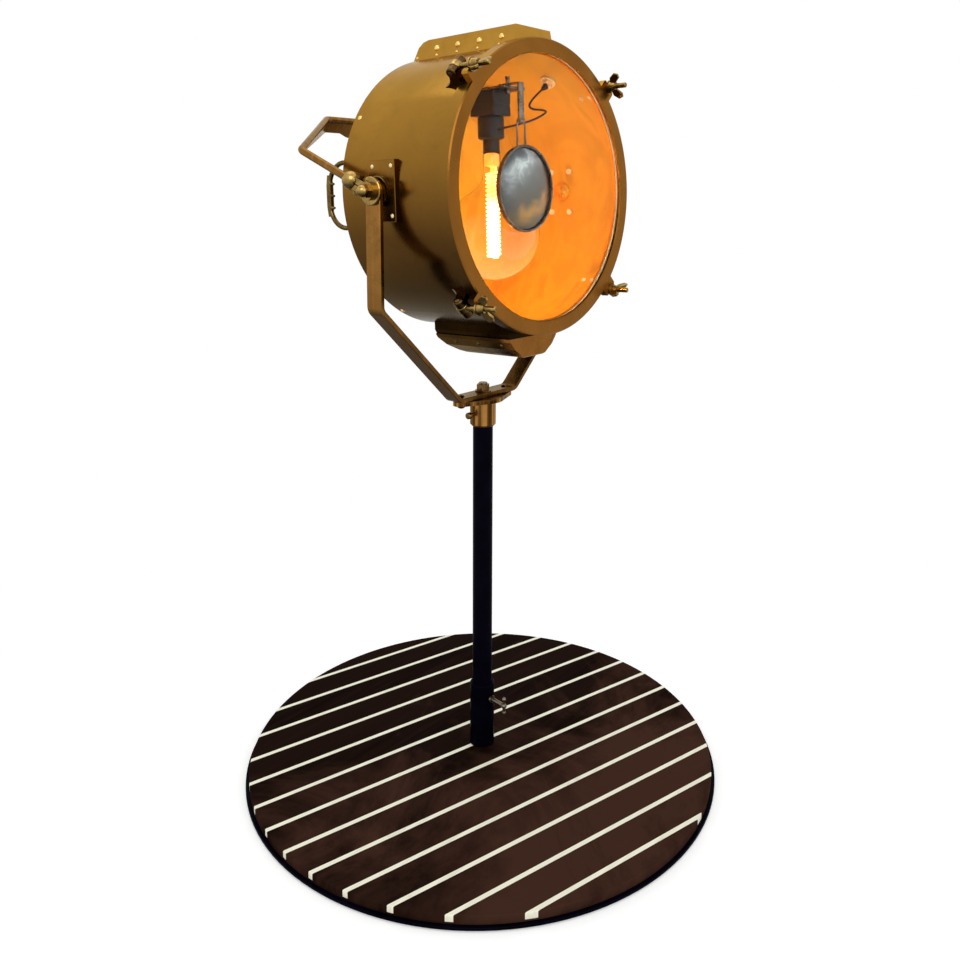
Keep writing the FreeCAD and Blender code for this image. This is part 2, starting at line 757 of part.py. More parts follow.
def eyebolt(angle):
    eye = cyl(EYE_R, EYE_W, V(CLAMP_R, CLAMP_PIN_Y, -EYE_W / 2), Z)
    eye = eye.makeFillet(1.2, [e for e in eye.Edges if e.Length > 40])
    eye = eye.cut(cyl(PIN_R + RUN_GAP, EYE_W, V(CLAMP_R, CLAMP_PIN_Y, -EYE_W / 2), Z))
    start = CLAMP_PIN_Y - EYE_R + 1.5
    shank = cyl(EYEBOLT_R, start - EYEBOLT_TIP, V(CLAMP_R, start, 0), Y * -1)
    shank = shank.makeChamfer(0.9, [e for e in shank.Edges if e.BoundBox.YMax < EYEBOLT_TIP + 0.1])
    return at_angle(fuse([eye, shank]), angle)


def wing_nut(angle):
    y = RING_FRONT - FACE_GAP
    axis = V(CLAMP_R, y, 0)
    hub = fuse([cyl(8.6, 2.0, axis, Y * -1),
                Part.makeCone(WING_HUB_R, 5.6, WING_HUB_H, axis, Y * -1)])
    wings = []
    for s in (-1, 1):
        pts = [V(CLAMP_R - 1.6, y - 3, s * 4), V(CLAMP_R - 1.6, y - 5, s * (WING_REACH - 5)),
               V(CLAMP_R - 1.6, y - 12, s * WING_REACH), V(CLAMP_R - 1.6, y - 18, s * (WING_REACH - 2)),
               V(CLAMP_R - 1.6, y - 18.5, s * (WING_REACH - 7)), V(CLAMP_R - 1.6, y - 11, s * 4)]
        wing = Part.Face(Part.makePolygon(pts + [pts[0]])).extrude(X * 3.2)
        wing = wing.makeFillet(0.9, [e for e in wing.Edges
                                     if abs(e.Vertexes[0].X - e.Vertexes[1].X) < 0.1
                                     and min(abs(e.Vertexes[0].Z), abs(e.Vertexes[1].Z)) > 5])
        wings.append(wing)
    body = fuse([hub] + wings)
    body = body.cut(cyl(EYEBOLT_R + RUN_GAP, 40, axis + Y, Y * -1))
    return at_angle(turned(body, axis, Y, 20), angle)


# Trunnions, bail and the pull handle


def pad_screw_spots():
    return [(y, z) for y in (-PAD_SCREW_Y, PAD_SCREW_Y) for z in (-PAD_SCREW_Z, PAD_SCREW_Z)]


def trunnion_pads():
    pad = block(DRUM_R - 6, PAD_FACE, -PAD_HALF_Y, PAD_HALF_Y, -PAD_HALF_Z, PAD_HALF_Z)
    edges = [e for e in pad.Edges if abs(e.Vertexes[0].X - PAD_FACE) < 0.1
             and abs(e.Vertexes[1].X - PAD_FACE) < 0.1]
    pad = pad.makeChamfer(0.8, edges)
    pad = pad.cut(cyl(DRUM_R, 100, V(0, -50, 0), Y))
    pad = pad.cut(cyl(SHAFT_R, 20, V(DRUM_R - 8, 0, 0), X))
    for y, z in pad_screw_spots():
        pad = pad.cut(cyl(PAD_SCREW_R, 30, V(DRUM_R - 10, y, z), X))
    return both_sides(pad)


def pad_screws():
    screws = []
    for y, z in pad_screw_spots():
        head = dome(1.6 * PAD_SCREW_R, 1.4, V(PAD_FACE, y, z), X)
        inside = math.sqrt((DRUM_R - DRUM_WALL) ** 2 - z * z)
        shank = cyl(PAD_SCREW_R, PAD_FACE - inside + 2, V(inside - 2, y, z), X)
        nut = cyl(4.0, 3.0, V(inside - 4.2, y, z), X)
        screws.append(fuse([head, shank, nut]))
    return both_sides(Part.makeCompound(screws))


def drum_pad_holes(shell):
    for s in (-1, 1):
        for y, z in pad_screw_spots():
            shell = shell.cut(cyl(PAD_SCREW_R, 20, V(s * (DRUM_R - 4) - 10, y, z), X))
    return shell


def trunnion_shafts():
    inner = DRUM_R - DRUM_WALL - 10
    shaft = cyl(SHAFT_R, HUB_OUT + 2 - inner, V(inner, 0, 0), X)
    flange = cyl(14.0, 3.0, V(DRUM_R - DRUM_WALL - 3.6, 0, 0), X)
    nut = hex_nut(9.5, 5.5, V(DRUM_R - DRUM_WALL - 9.1, 0, 0), X, None)
    return both_sides(fuse([shaft, flange, nut]))


def friction_discs():
    last = YOKE_X - STRAP_T / 2 - FACE_GAP
    step = (last - PAD_FACE) / DISC_COUNT
    pts = [V(PAD_FACE, SHAFT_R, 0)]
    for i in range(DISC_COUNT):
        x = PAD_FACE + i * step
        pts += [V(x, DISC_R - 1.2, 0), V(x + 0.35, DISC_R, 0), V(x + step - 0.35, DISC_R, 0),
                V(x + step, DISC_R - 1.2, 0)]
    pts.append(V(last, SHAFT_R, 0))
    clean = [pts[0]]
    for p in pts[1:]:
        if (p - clean[-1]).Length > 0.01:
            clean.append(p)
    return both_sides(spin(clean, O, X))


def cap_nuts():
    at = V(HUB_OUT, 0, 0)
    skirt = hex_nut(CAP_R, 6.0, at, X, None)
    crown = cyl(CAP_R - 1.5, 2.0, at + X * 5.5, X)
    top = Part.makeSphere(CAP_R - 1.5, at + X * 6.5).common(cyl(20, 20, at + X * 6.5, X))
    body = fuse([skirt, crown, top]).cut(cyl(SHAFT_R, 2.0, at, X))
    return both_sides(body)


def bail_frame():
    """Direction of the bail and the normal of its plane in the lamp's frame."""
    t = math.radians(BAIL_ANGLE)
    return V(0, math.cos(t), math.sin(t)), V(0, -math.sin(t), math.cos(t))


def bail_points():
    d, n = bail_frame()
    start = V(-BAIL_X, 0, 0) + d * HUB_BALL_AT
    half = [start, V(-BAIL_X, 0, 0) + d * BAIL_BEND, V(-BAIL_BAR_X, 0, 0) + d * BAIL_BAR]
    return half + [V(-p.x, p.y, p.z) for p in reversed(half)]


def slab_between(corners, normal, thick):
    """Plate of even thickness on both sides of a flat outline."""
    face = Part.Face(Part.makePolygon(corners + [corners[0]]))
    face.translate(normal * (-thick / 2))
    return face.extrude(normal * thick)


def bail_web():
    """Web under the grip, deeper at its middle, which runs out along the two slants."""
    d, n = bail_frame()
    near, far = bail_points()[1:3]
    low = n * -(BAIL_R + WEB_DEPTH)
    deep = low - n * WEB_DROP
    half = BAIL_BAR_X
    mid = d * BAIL_BAR
    edge = [X * -half + mid, X * -half + mid + low, X * (-0.5 * half) + mid + low,
            X * (-0.25 * half) + mid + deep, X * (0.25 * half) + mid + deep,
            X * (0.5 * half) + mid + low, X * half + mid + low, X * half + mid]
    grip = slab_between(edge, d, WEB_T)
    bends = [e for e in grip.Edges if abs(e.CenterOfMass.x) < 0.6 * half
             and abs((e.Vertexes[1].Point - e.Vertexes[0].Point).normalize().dot(d)) > 0.99]
    grip = grip.makeFillet(WEB_DEPTH, bends)
    side = (near - far).normalize()
    slant = slab_between([far, far + low, near - side * BAIL_BEND_R - n * BAIL_R, near - side * BAIL_BEND_R],
                         side.cross(n), WEB_T)
    corner = cyl(WEB_T / 2, BAIL_R + WEB_DEPTH, far + low, n)
    return fuse([grip, slant, mirrored_x(slant), corner, mirrored_x(corner)])


def bail_handle():
    pts = bail_points()
    bar = round_bar(pts, BAIL_BEND_R, BAIL_R)
    return fuse([bar, bail_web()])


def bail_hubs():
    """Rimmed eye round the shaft and an arm with a ball end that takes the bail's rod."""
    d, n = bail_frame()
    x0 = YOKE_X + STRAP_T / 2 + FACE_GAP
    thick = HUB_OUT - x0
    rim = cyl(HUB_R, HUB_RIM_T, V(x0, 0, 0), X)
    rim = rim.makeChamfer(0.8, [e for e in rim.Edges if e.BoundBox.XMin > x0 + 1])
    eye = cyl(HUB_NECK_R, thick, V(x0, 0, 0), X)
    at = V(x0, 0, 0)
    up = n * HUB_ARM_HALF
    reach = d * HUB_BALL_AT
    arm = Part.Face(Part.makePolygon([at + up, at + reach + up, at + reach - up, at - up, at + up]))
    arm = arm.extrude(X * thick)
    ball = Part.makeSphere(HUB_BALL_R, V(BAIL_X, 0, 0) + reach)
    ball = ball.common(block(x0, x0 + 3 * HUB_BALL_R, -200, 200, -200, 200))
    body = fuse([rim, eye, arm, ball])
    body = body.cut(cyl(SHAFT_R, thick, at, X))
    split = block(x0 - 1, HUB_OUT + 1, 0, PINCH_AT + 5, -0.7, 0.7)
    body = body.cut(turned(split, O, X, BAIL_ANGLE))
    body = body.cut(cyl(BAIL_R, 2 * HUB_BALL_R, V(BAIL_X, 0, 0) + reach, d))
    hole = cyl(PINCH_R, 4 * HUB_ARM_HALF, pinch_centre() - n * 2 * HUB_ARM_HALF, n)
    return both_sides(body.cut(hole))


def pinch_centre():
    d, n = bail_frame()
    x0 = YOKE_X + STRAP_T / 2 + FACE_GAP
    return V((x0 + HUB_OUT) / 2, 0, 0) + d * PINCH_AT


def pinch_bolts():
    d, n = bail_frame()
    c = pinch_centre()
    seat = HUB_ARM_HALF + 0.9
    shank = cyl(PINCH_R, 2 * seat + 3, c - n * (seat + 0.5), n)
    head = cyl(4.2, 3.6, c - n * (seat + 3.6), n)
    nut = hex_nut(4.4, 3.4, c + n * seat, n, None)
    return both_sides(fuse([shank, head, nut]))


def pull_ends():
    return (PULL_MIDDLE - PULL_HALF, PULL_MIDDLE + PULL_HALF)


def pull_handle():
    """Bent rod with a swollen grip that has cusps between the fingers."""
    y0 = DRUM_BACK
    low, high = pull_ends()
    pts = [V(PULL_X, y0, high), V(PULL_X, PULL_OUT, high), V(PULL_X, PULL_OUT, low), V(PULL_X, y0, low)]
    bar = round_bar(pts, PULL_BEND_R, PULL_R)
    centre = V(PULL_X, PULL_OUT, PULL_MIDDLE)
    half = PULL_GRIP_HALF
    profile = [centre - Z * half, centre + V(PULL_R, 0, -half), centre + V(PULL_GRIP_R, 0, -0.5 * half),
               centre + V(PULL_GRIP_R, 0, 0.5 * half), centre + V(PULL_R, 0, half), centre + Z * half]
    parts = [bar, spin(profile, centre, Z)]
    for i in (-1, 0, 1):
        at = centre + Z * (i * PULL_CUSP_PITCH)
        parts.append(Part.makeCone(PULL_GRIP_R, 1.1, PULL_GRIP_R + PULL_CUSP, at, Y * -1))
    for z in pull_ends():
        at = V(PULL_X, DRUM_BACK + COVER_T, z)
        parts.append(cyl(9.0, 2.0, at, Y))
        parts.append(Part.makeCone(8.0, 5.0, 4.0, at + Y * 2.0, Y))
    return fuse(parts)


# Hood and box


def drum_core():
    """The drum's outer cylinder, which cuts off whatever is fitted to it."""
    return cyl(DRUM_R, 2 * (DRUM_BACK - DRUM_FRONT), V(0, DRUM_FRONT * 2, 0), Y)


def hood_slope():
    return (HOOD_HALF_LOW - HOOD_HALF_TOP) / HOOD_SPREAD


def hood_solid(g):
    """Body between the hood's folded sides and its stepped back, grown by g all round."""
    side = [V(0, HOOD_FRONT - g, HOOD_FOOT), V(0, HOOD_FRONT - g, HOOD_TOP + g),
            V(0, HOOD_BACK_TOP, HOOD_TOP + g), V(0, HOOD_BACK_TOP + 9 + g * 0.4, HOOD_TOP - 2.5 + g),
            V(0, HOOD_BACK_TOP + 16 + g, HOOD_TOP - 9 + g * 0.6), V(0, HOOD_BACK + g, HOOD_TOP - 30),
            V(0, HOOD_BACK + g, HOOD_FOOT)]
    reach = 2 * HOOD_HALF_LOW
    run = Part.Face(Part.makePolygon(side + [side[0]])).extrude(X * 2 * reach)
    run.translate(X * -reach)
    half_low = HOOD_HALF_TOP + hood_slope() * (HOOD_TOP - HOOD_FOOT) + g
    half_top = HOOD_HALF_TOP - hood_slope() * 10 + g
    y0 = HOOD_FRONT - 50
    front = [V(-half_low, y0, HOOD_FOOT), V(half_low, y0, HOOD_FOOT), V(half_top, y0, HOOD_TOP + 10),
             V(-half_top, y0, HOOD_TOP + 10)]
    cross = Part.Face(Part.makePolygon(front + [front[0]])).extrude(Y * (HOOD_BACK - HOOD_FRONT + 100))
    return run.common(cross)


def vent_hood():
    body = hood_solid(0).cut(hood_solid(-HOOD_T))
    return body.cut(drum_core())


def hood_side(y, z):
    """Point on the hood's +X side at a height, and the outward direction there."""
    slope = hood_slope()
    x = HOOD_HALF_TOP + slope * (HOOD_TOP - z)
    return V(x, y, z), V(1, 0, slope).normalize()


def hood_rivets():
    out = []
    for i in range(4):
        at, d = hood_side(DOME_FIRST - i * DOME_PITCH, HOOD_TOP - DOME_DOWN)
        out.append(dome(DOME_R, 3.0, at, d))
    for i in range(5):
        at, d = hood_side(RIVET_FIRST - i * RIVET_PITCH, HOOD_TOP - RIVET_DOWN)
        out.append(dome(RIVET_R, 1.3, at, d))
    return both_sides(Part.makeCompound(out))


def box_outline(g):
    """One half of the box seen from the front, from its top corner to its floor."""
    f = BOX_FLOOR_HALF
    return [V(-BOX_HALF - g, 0, -BOX_HEAD), V(-BOX_HALF - g, 0, -BOX_LOW + 32),
            V(-BOX_HALF + 5 - g, 0, -BOX_LOW + 22 - g * 0.5), V(-BOX_HALF + 14 - g, 0, -BOX_LOW + 12 - g),
            V(-f - 5 - g * 0.5, 0, -BOX_LOW + 3 - g), V(-f, 0, -BOX_LOW - g)]


def box_solid(g, z_top, z_low):
    """Body of the box grown by g, between two heights."""
    front = box_outline(g)
    pts = front + [V(-p.x, 0, p.z) for p in reversed(front)]
    length = 2 * (BOX_BACK - BOX_FRONT)
    run = Part.Face(Part.makePolygon(pts + [pts[0]])).extrude(Y * length)
    run.translate(Y * -length / 2)
    low = -BOX_LOW - 2 - g
    side = [V(0, BOX_FRONT - g, -BOX_HEAD), V(0, BOX_FRONT - g, low + 3.5), V(0, BOX_FRONT + 4, low),
            V(0, BOX_BACK - 35, low), V(0, BOX_BACK - 21 + g * 0.5, low + 4.5),
            V(0, BOX_BACK - 11 + g, low + 12), V(0, BOX_BACK - 2 + g, -BOX_SEAM - 6),
            V(0, BOX_BACK + g, -BOX_SEAM + 4), V(0, BOX_BACK + g, -BOX_HEAD)]
    cross = Part.Face(Part.makePolygon(side + [side[0]])).extrude(X * 4 * BOX_HALF)
    cross.translate(X * -2 * BOX_HALF)
    slab = block(-2 * BOX_HALF, 2 * BOX_HALF, -length, length, z_low, z_top)
    return run.common(cross).common(slab)


def box_neck():
    outer = box_solid(0, -BOX_HEAD, -BOX_SEAM)
    inner = box_solid(-BOX_T, -BOX_HEAD, -BOX_SEAM)
    return outer.cut(inner).cut(drum_core())


def box_pan():
    outer = box_solid(PAN_STEP, -BOX_SEAM, -BOX_LOW - 10)
    inner = box_solid(PAN_STEP - BOX_T, -BOX_SEAM - 1.2, -BOX_LOW - 10 + BOX_T)
    inner = inner.common(box_solid(-BOX_T + PAN_STEP, -BOX_HEAD, -BOX_LOW - 10))
    opening = box_solid(-BOX_T * 2, -BOX_SEAM + 1, -BOX_SEAM - 3)
    return outer.cut(inner).cut(opening)


def box_rivets():
    out = []
    upper, lower = box_outline(PAN_STEP)[2:4]
    along = lower - upper
    mid = (upper + lower) * 0.5
    for i in range(3):
        y = BOX_FRONT + 18 + 40 * i
        out.append(dome(2.6, 1.5, V(-mid.x, y, mid.z), V(-along.z, 0, -along.x).normalize()))
    return both_sides(Part.makeCompound(out))


# Inside the drum, in the lamp's own frame


def lamp_bracket():
    front = LAMP_Y - BRACKET_FRONT
    back = LAMP_Y + BRACKET_BACK
    plate = block(HANGER_X - HANGER_W / 2, BRACKET_HALF, front, back, HOLDER_TOP, HOLDER_TOP + PLATE_T)
    plate = plate.makeFillet(4, [e for e in plate.Edges if abs(e.Vertexes[0].Z - e.Vertexes[1].Z) > 1])
    half = BRACKET_HALF - 2
    top = math.sqrt((DRUM_R - DRUM_WALL) ** 2 - half ** 2) - CURVE_GAP
    strap = block(-half, half, back - PLATE_T, back, HOLDER_TOP, top)
    foot = block(-half, half, back - PLATE_T, back + 18, top - PLATE_T, top)
    body = fuse([plate, strap, foot])
    body = body.cut(cyl(2.5, 20, V(0, LAMP_Y - 30, HOLDER_TOP - 5), Z))
    return body


def bracket_screw():
    at = V(0, LAMP_Y - 30, HOLDER_TOP + PLATE_T)
    washer = cyl(7.0, 1.2, at, Z)
    nut = hex_nut(5.0, 4.0, at + Z * 1.2, Z, None)
    shank = cyl(2.5, 22, at - Z * 8, Z)
    tip = cyl(3.2, 3.0, at + Z * 11.5, Z)
    low = hex_nut(5.0, 4.0, at - Z * (PLATE_T + 4.0), Z, None)
    return fuse([washer, nut, shank, tip, low])


def holder_block():
    hx = HOLDER_HALF_X
    hy = HOLDER_HALF_Y
    body = block(-hx, hx, LAMP_Y - hy, LAMP_Y + hy, HOLDER_BLOCK, HOLDER_TOP)
    body = body.makeFillet(3.0, [e for e in body.Edges if abs(e.Vertexes[0].Z - e.Vertexes[1].Z) > 1])
    groove_z = HOLDER_BLOCK + 12
    outer = block(-hx, hx, LAMP_Y - hy, LAMP_Y + hy, groove_z, groove_z + 3)
    core = block(1.5 - hx, hx - 1.5, LAMP_Y - hy + 1.5, LAMP_Y + hy - 1.5, groove_z, groove_z + 3)
    return body.cut(outer.cut(core))


def holder_skirt():
    """Bayonet holder: a narrow mouth, a wider chamber for the pins and a closed top."""
    z0 = HOLDER_LOW
    mouth = BULB_CAP_R + CURVE_GAP
    chamber = BULB_CAP_R + 3.0
    pts = [V(mouth, 0, z0), V(HOLDER_R - 2.5, 0, z0), V(HOLDER_R, 0, z0 + 2),
           V(HOLDER_R, 0, HOLDER_BLOCK - 3), V(HOLDER_R - 1.6, 0, HOLDER_BLOCK), V(0, 0, HOLDER_BLOCK),
           V(0, 0, BULB_CAP_TOP + 6),
           V(chamber, 0, BULB_CAP_TOP + 6), V(chamber, 0, z0 + 4), V(mouth, 0, z0 + 4)]
    body = spin(pts, O, Z)
    body.translate(V(0, LAMP_Y, 0))
    return body


def bulb_cap():
    """Bayonet cap with its two pins and its two contacts."""
    r = BULB_CAP_R
    top = BULB_CAP_TOP
    pts = [V(0, 0, NECK_TOP), V(r + 0.6, 0, NECK_TOP), V(r + 0.6, 0, NECK_TOP + 2), V(r, 0, NECK_TOP + 2.6),
           V(r, 0, top - 2), V(r - 2, 0, top), V(0, 0, top)]
    parts = [spin(pts, O, Z)]
    for s in (-1, 1):
        parts.append(cyl(1.1, 3, V(s * (r - 1), 0, top - 6), X * s))
        parts.append(dome(2.0, 1.4, V(0, s * 4, top), Z))
    body = fuse(parts)
    body.translate(V(0, LAMP_Y, 0))
    return body


def globe_outline(wall):
    """Half outline of the globe, from its foot up its arc and through a curve into the neck."""
    r = GLOBE_R - wall
    neck = NECK_R - wall
    join = math.radians(58)
    foot = V(0, 0, GLOBE_Z - r)
    side = V(r, 0, GLOBE_Z)
    top = V(r * math.cos(join), 0, GLOBE_Z + r * math.sin(join))
    along = V(-math.sin(join), 0, math.cos(join))
    low = V(neck, 0, NECK_LOW)
    curve = Part.BezierCurve()
    curve.setPoles([top, top + along * 22, low - Z * 20, low])
    return [Part.Arc(foot, side, top).toShape(), curve.toShape(),
            Part.makeLine(low, V(neck, 0, NECK_TOP - 3)),
            Part.makeLine(V(neck, 0, NECK_TOP - 3), V(neck - 1.4, 0, NECK_TOP))]


def bulb_glass():
    outer = globe_outline(0)
    inner = globe_outline(GLOBE_WALL)
    ends = [Part.makeLine(outer[-1].Vertexes[-1].Point, inner[-1].Vertexes[-1].Point),
            Part.makeLine(outer[0].Vertexes[0].Point, inner[0].Vertexes[0].Point)]
    section = Part.Face(Part.Wire(Part.__sortEdges__(outer + inner + ends)))
    body = section.revolve(O, Z, 360)
    flare = NECK_R - GLOBE_WALL - 1.4
    stem = spin([V(0, 0, STEM_TIP), V(2.2, 0, STEM_TIP + 2), V(2.6, 0, STEM_FOOT - 5),
                 V(flare, 0, STEM_FOOT - 2), V(flare, 0, NECK_TOP), V(0, 0, NECK_TOP)], O, Z)
    both = Part.makeCompound([body, stem])
    both.translate(V(0, LAMP_Y, 0))
    return both


def filament():
    """Spiral wire with its two ends carried by the glass stem."""
    span = FILAMENT_HIGH - FILAMENT_LOW
    path = Part.Wire(Part.makeHelix(FILAMENT_PITCH, span, FILAMENT_R))
    rise = FILAMENT_PITCH / (2 * math.pi * FILAMENT_R)
    profile = Part.Wire([Part.makeCircle(FILAMENT_WIRE, V(FILAMENT_R, 0, 0), V(0, 1, rise))])
    coil = path.makePipeShell([profile], True, True)
    coil.translate(V(0, LAMP_Y, FILAMENT_LOW))
    turn = 2 * math.pi * span / FILAMENT_PITCH
    end = V(FILAMENT_R * math.cos(turn), LAMP_Y + FILAMENT_R * math.sin(turn), FILAMENT_HIGH)
    up = cyl(FILAMENT_WIRE, STEM_FOOT - 2.0 - FILAMENT_HIGH - CURVE_GAP, end, Z)
    start = V(FILAMENT_R, LAMP_Y, FILAMENT_LOW)
    arm = cyl(FILAMENT_WIRE, FILAMENT_R, start, X * -1)
    mast = cyl(FILAMENT_WIRE, STEM_TIP - CURVE_GAP - FILAMENT_LOW, V(0, LAMP_Y, FILAMENT_LOW), Z)
    return fuse([coil, up, arm, mast])


def mirror_at():
    return V(MIRROR_X, MIRROR_Y, MIRROR_Z)


def aux_mirror():
    c = mirror_at()
    r = MIRROR_R - 2.5
    sag = 9.0
    big = (r * r + sag * sag) / (2 * sag)
    outer = Part.makeSphere(big, c + Y * (big - sag)).common(cyl(r, 40, c - Y * 20, Y))
    inner = Part.makeSphere(big - 2.0, c + Y * (big - sag))
    keep = cyl(r, sag + 2.5, c - Y * (sag + 0.5), Y)
    return outer.cut(inner).common(keep)


def mirror_rim():
    c = mirror_at()
    pts = []
    for x, y in ((MIRROR_R - 2.4, -2.5), (MIRROR_R, -2.5), (MIRROR_R + MIRROR_LIP, 0), (MIRROR_R, 3.2),
                 (MIRROR_R - 2.4, 3.2)):
        pts.append(V(x, y, 0))
    body = spin(pts, O, Y)
    body.translate(c)
    return body


def mirror_hanger():
    """Wire loop on the mirror's rim, hung from a strap that is bent down from the lamp's plate."""
    c = mirror_at()
    top = HOLDER_TOP + PLATE_T
    rim = c.z + math.sqrt(MIRROR_R ** 2 - (HANGER_X - MIRROR_X) ** 2)
    r = 1.3
    leg = 8.0
    loop_top = rim + 30
    near = [max(abs(HANGER_X + s * leg - MIRROR_X) - r, 0) for s in (-1, 1)]
    drop = [math.sqrt((MIRROR_R + MIRROR_LIP) ** 2 - x ** 2) + 0.1 for x in near]
    loop = [V(HANGER_X - leg, c.y, c.z + drop[0]), V(HANGER_X - leg, c.y, loop_top),
            V(HANGER_X + leg, c.y, loop_top), V(HANGER_X + leg, c.y, c.z + drop[1])]
    wire = round_bar(loop, 7.4, r)
    front = LAMP_Y - BRACKET_FRONT
    x0, x1 = HANGER_X - HANGER_W / 2, HANGER_X + HANGER_W / 2
    strap = block(x0, x1, c.y - 1.6, c.y + 0.9, loop_top - 3, top + 1.6)
    foot = block(x0, x1, c.y - 1.6, front + 10, top, top + 1.6)
    roll = cyl(3.4, HANGER_W, V(x0, c.y, loop_top), X)
    return fuse([wire, strap, foot, roll])


def lead_points():
    d = fitting_dir()
    wall = d * (DRUM_R - DRUM_WALL - 9) + Y * FITTING_Y
    return [wall, V(68, -36, 128), V(48, -38, 109), V(60, -66, 106), V(30, -76, 95), V(-4, -74, 84),
            V(-6, LAMP_Y - HOLDER_R, 80)]


def lead_radii(pts):
    radii = []
    for i in range(1, len(pts) - 1):
        a = pts[i - 1] - pts[i]
        b = pts[i + 1] - pts[i]
        half_turn = (math.pi - a.getAngle(b)) / 2
        radii.append(0.45 * min(a.Length, b.Length) / math.tan(half_turn))
    return radii


def lamp_lead():
    pts = lead_points()
    radii = lead_radii(pts)
    path = rounded_path(pts, radii)
    d = (pts[1] - pts[0]).normalize()
    lead = sweep(path, Part.Wire([Part.makeCircle(LEAD_R, pts[0], d)]))
    area = math.pi * LEAD_R ** 2
    print("lead radii", [round(r, 1) for r in radii], "volume", round(lead.Volume, 1),
          "section x length", round(area * path.Length, 1))
    return lead


def wall_fitting():
    d = fitting_dir()
    inside = DRUM_R - DRUM_WALL
    at = d * (inside - 0.5) + Y * FITTING_Y
    flange = cyl(11.0, 3.0, at - d * 3.0, d)
    nut = hex_nut(8.0, 5.0, at - d * 8.0, d, None)
    shank = cyl(FITTING_R, DRUM_WALL + 4.2, at - d * 0.5, d)
    cap = dome(6.5, 3.0, d * (DRUM_R + 0.9) + Y * FITTING_Y, d)
    body = fuse([flange, nut, shank, cap])
    return body.cut(cyl(LEAD_R, 6, at - d * 8.8, d))


def lead_grommet():
    pts = lead_points()
    d = (pts[0] - pts[1]).normalize()
    body = Part.makeCone(2.6, 4.6, 7.0, pts[0] - d * 9.0, d)
    return body.cut(cyl(LEAD_R, 12, pts[0] - d * 11, d))


def build():
    save("foot_pads", foot_pads())
    save("plinth", plinth())
    save("deck_planks", deck_planks())
    save("deck_strips", deck_strips())
    save("post_socket", post_socket())
    save("socket_screws", socket_screws())
    save("socket_clamp_screw", clamp_screw())
    save("post", post())
    save("post_plug", post_plug())
    save("post_nut", post_nut())
    save("yoke_collar", yoke_collar())
    save("flange_bolts", flange_bolts())
    save("collar_set_screw", set_screw())
    save("yoke", yoke())
    save("drum_shell", on_head(drum_pad_holes(drum_screw_holes(drum_shell()))))
    save("rim_screws", on_head(rim_screws()))
    head = {
        "back_cover": back_cover, "front_ring": front_ring, "front_glass": front_glass,
        "glass_gasket": glass_gasket, "glass_retainer": glass_retainer, "retainer_screws": retainer_screws,
        "clamp_lugs": clamp_lugs, "clamp_pins": clamp_pins, "lug_rivets": lug_rivets,
        "trunnion_pads": trunnion_pads, "pad_screws": pad_screws, "trunnion_shafts": trunnion_shafts,
        "friction_discs": friction_discs, "cap_nuts": cap_nuts, "bail_handle": bail_handle,
        "bail_hubs": bail_hubs, "pinch_bolts": pinch_bolts, "pull_handle": pull_handle,
        "vent_hood": vent_hood, "hood_rivets": hood_rivets,
        "box_neck": box_neck, "box_pan": box_pan, "box_rivets": box_rivets,
        "lamp_bracket": lamp_bracket, "bracket_screw": bracket_screw, "holder_block": holder_block,
        "holder_skirt": holder_skirt, "bulb_cap": bulb_cap, "bulb_glass": bulb_glass,
        "filament": filament, "aux_mirror": aux_mirror,
        "mirror_rim": mirror_rim, "mirror_hanger": mirror_hanger, "lamp_lead": lamp_lead,
        "wall_fitting": wall_fitting, "lead_grommet": lead_grommet,
    }
    for name, make in head.items():
        save(name, on_head(make()))
    corners = dict(zip(("ur", "ul", "ll", "lr"), clamp_angles()))
    for corner, angle in corners.items():
        save("eyebolt_" + corner, on_head(eyebolt(angle)))
        save("wing_nut_" + corner, on_head(wing_nut(angle)))


build()
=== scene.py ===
import json
import math

import bmesh
import bpy
from mathutils import Matrix, Vector


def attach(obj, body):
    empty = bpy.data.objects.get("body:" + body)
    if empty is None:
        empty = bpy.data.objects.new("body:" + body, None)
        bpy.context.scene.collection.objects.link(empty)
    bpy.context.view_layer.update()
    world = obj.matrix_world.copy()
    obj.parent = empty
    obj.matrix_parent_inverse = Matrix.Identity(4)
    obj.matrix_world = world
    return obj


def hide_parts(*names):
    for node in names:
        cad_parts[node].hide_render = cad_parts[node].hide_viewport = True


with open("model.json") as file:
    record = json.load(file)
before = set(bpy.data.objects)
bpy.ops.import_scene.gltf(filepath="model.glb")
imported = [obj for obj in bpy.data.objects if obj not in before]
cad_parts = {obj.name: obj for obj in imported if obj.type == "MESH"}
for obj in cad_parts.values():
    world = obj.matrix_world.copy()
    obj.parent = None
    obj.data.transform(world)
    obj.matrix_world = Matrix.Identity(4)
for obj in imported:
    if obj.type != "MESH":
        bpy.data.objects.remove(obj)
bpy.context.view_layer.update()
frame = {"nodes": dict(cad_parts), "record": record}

bl_info = {
    "name": "Searchlight lamp",
    "version": (1, 0, 0),
    "blender": (4, 5, 0),
    "location": "3D View > Sidebar > Lamp",
    "description": "Dresses a searchlight lamp that stands on a striped disc base",
    "category": "Object",
}

# Lengths are in metres
MM = 0.001

# The head frame has its origin on the trunnion line and leans back with the lamp. Its Y axis runs
# along the drum, away from the glass, and its Z axis up through the vent hood.
JOINTS = {joint["name"]: joint for joint in frame["record"]["behaviour"]["joints"]}
PIVOT = Vector(JOINTS["tilt"]["pos_m"])
REST_TILT = math.radians(2.2)
HEAD = Matrix.Translation(PIVOT) @ Matrix.Rotation(-REST_TILT, 4, "X")

# Drum, and the fitting in its wall where the lamp's lead starts, in the head frame
DRUM_RADIUS = 0.181
DRUM_WALL = 0.0016
FITTING_DEPTH = 0.009
FITTING_Y = -0.039
FITTING_ANGLE = math.radians(57.4)

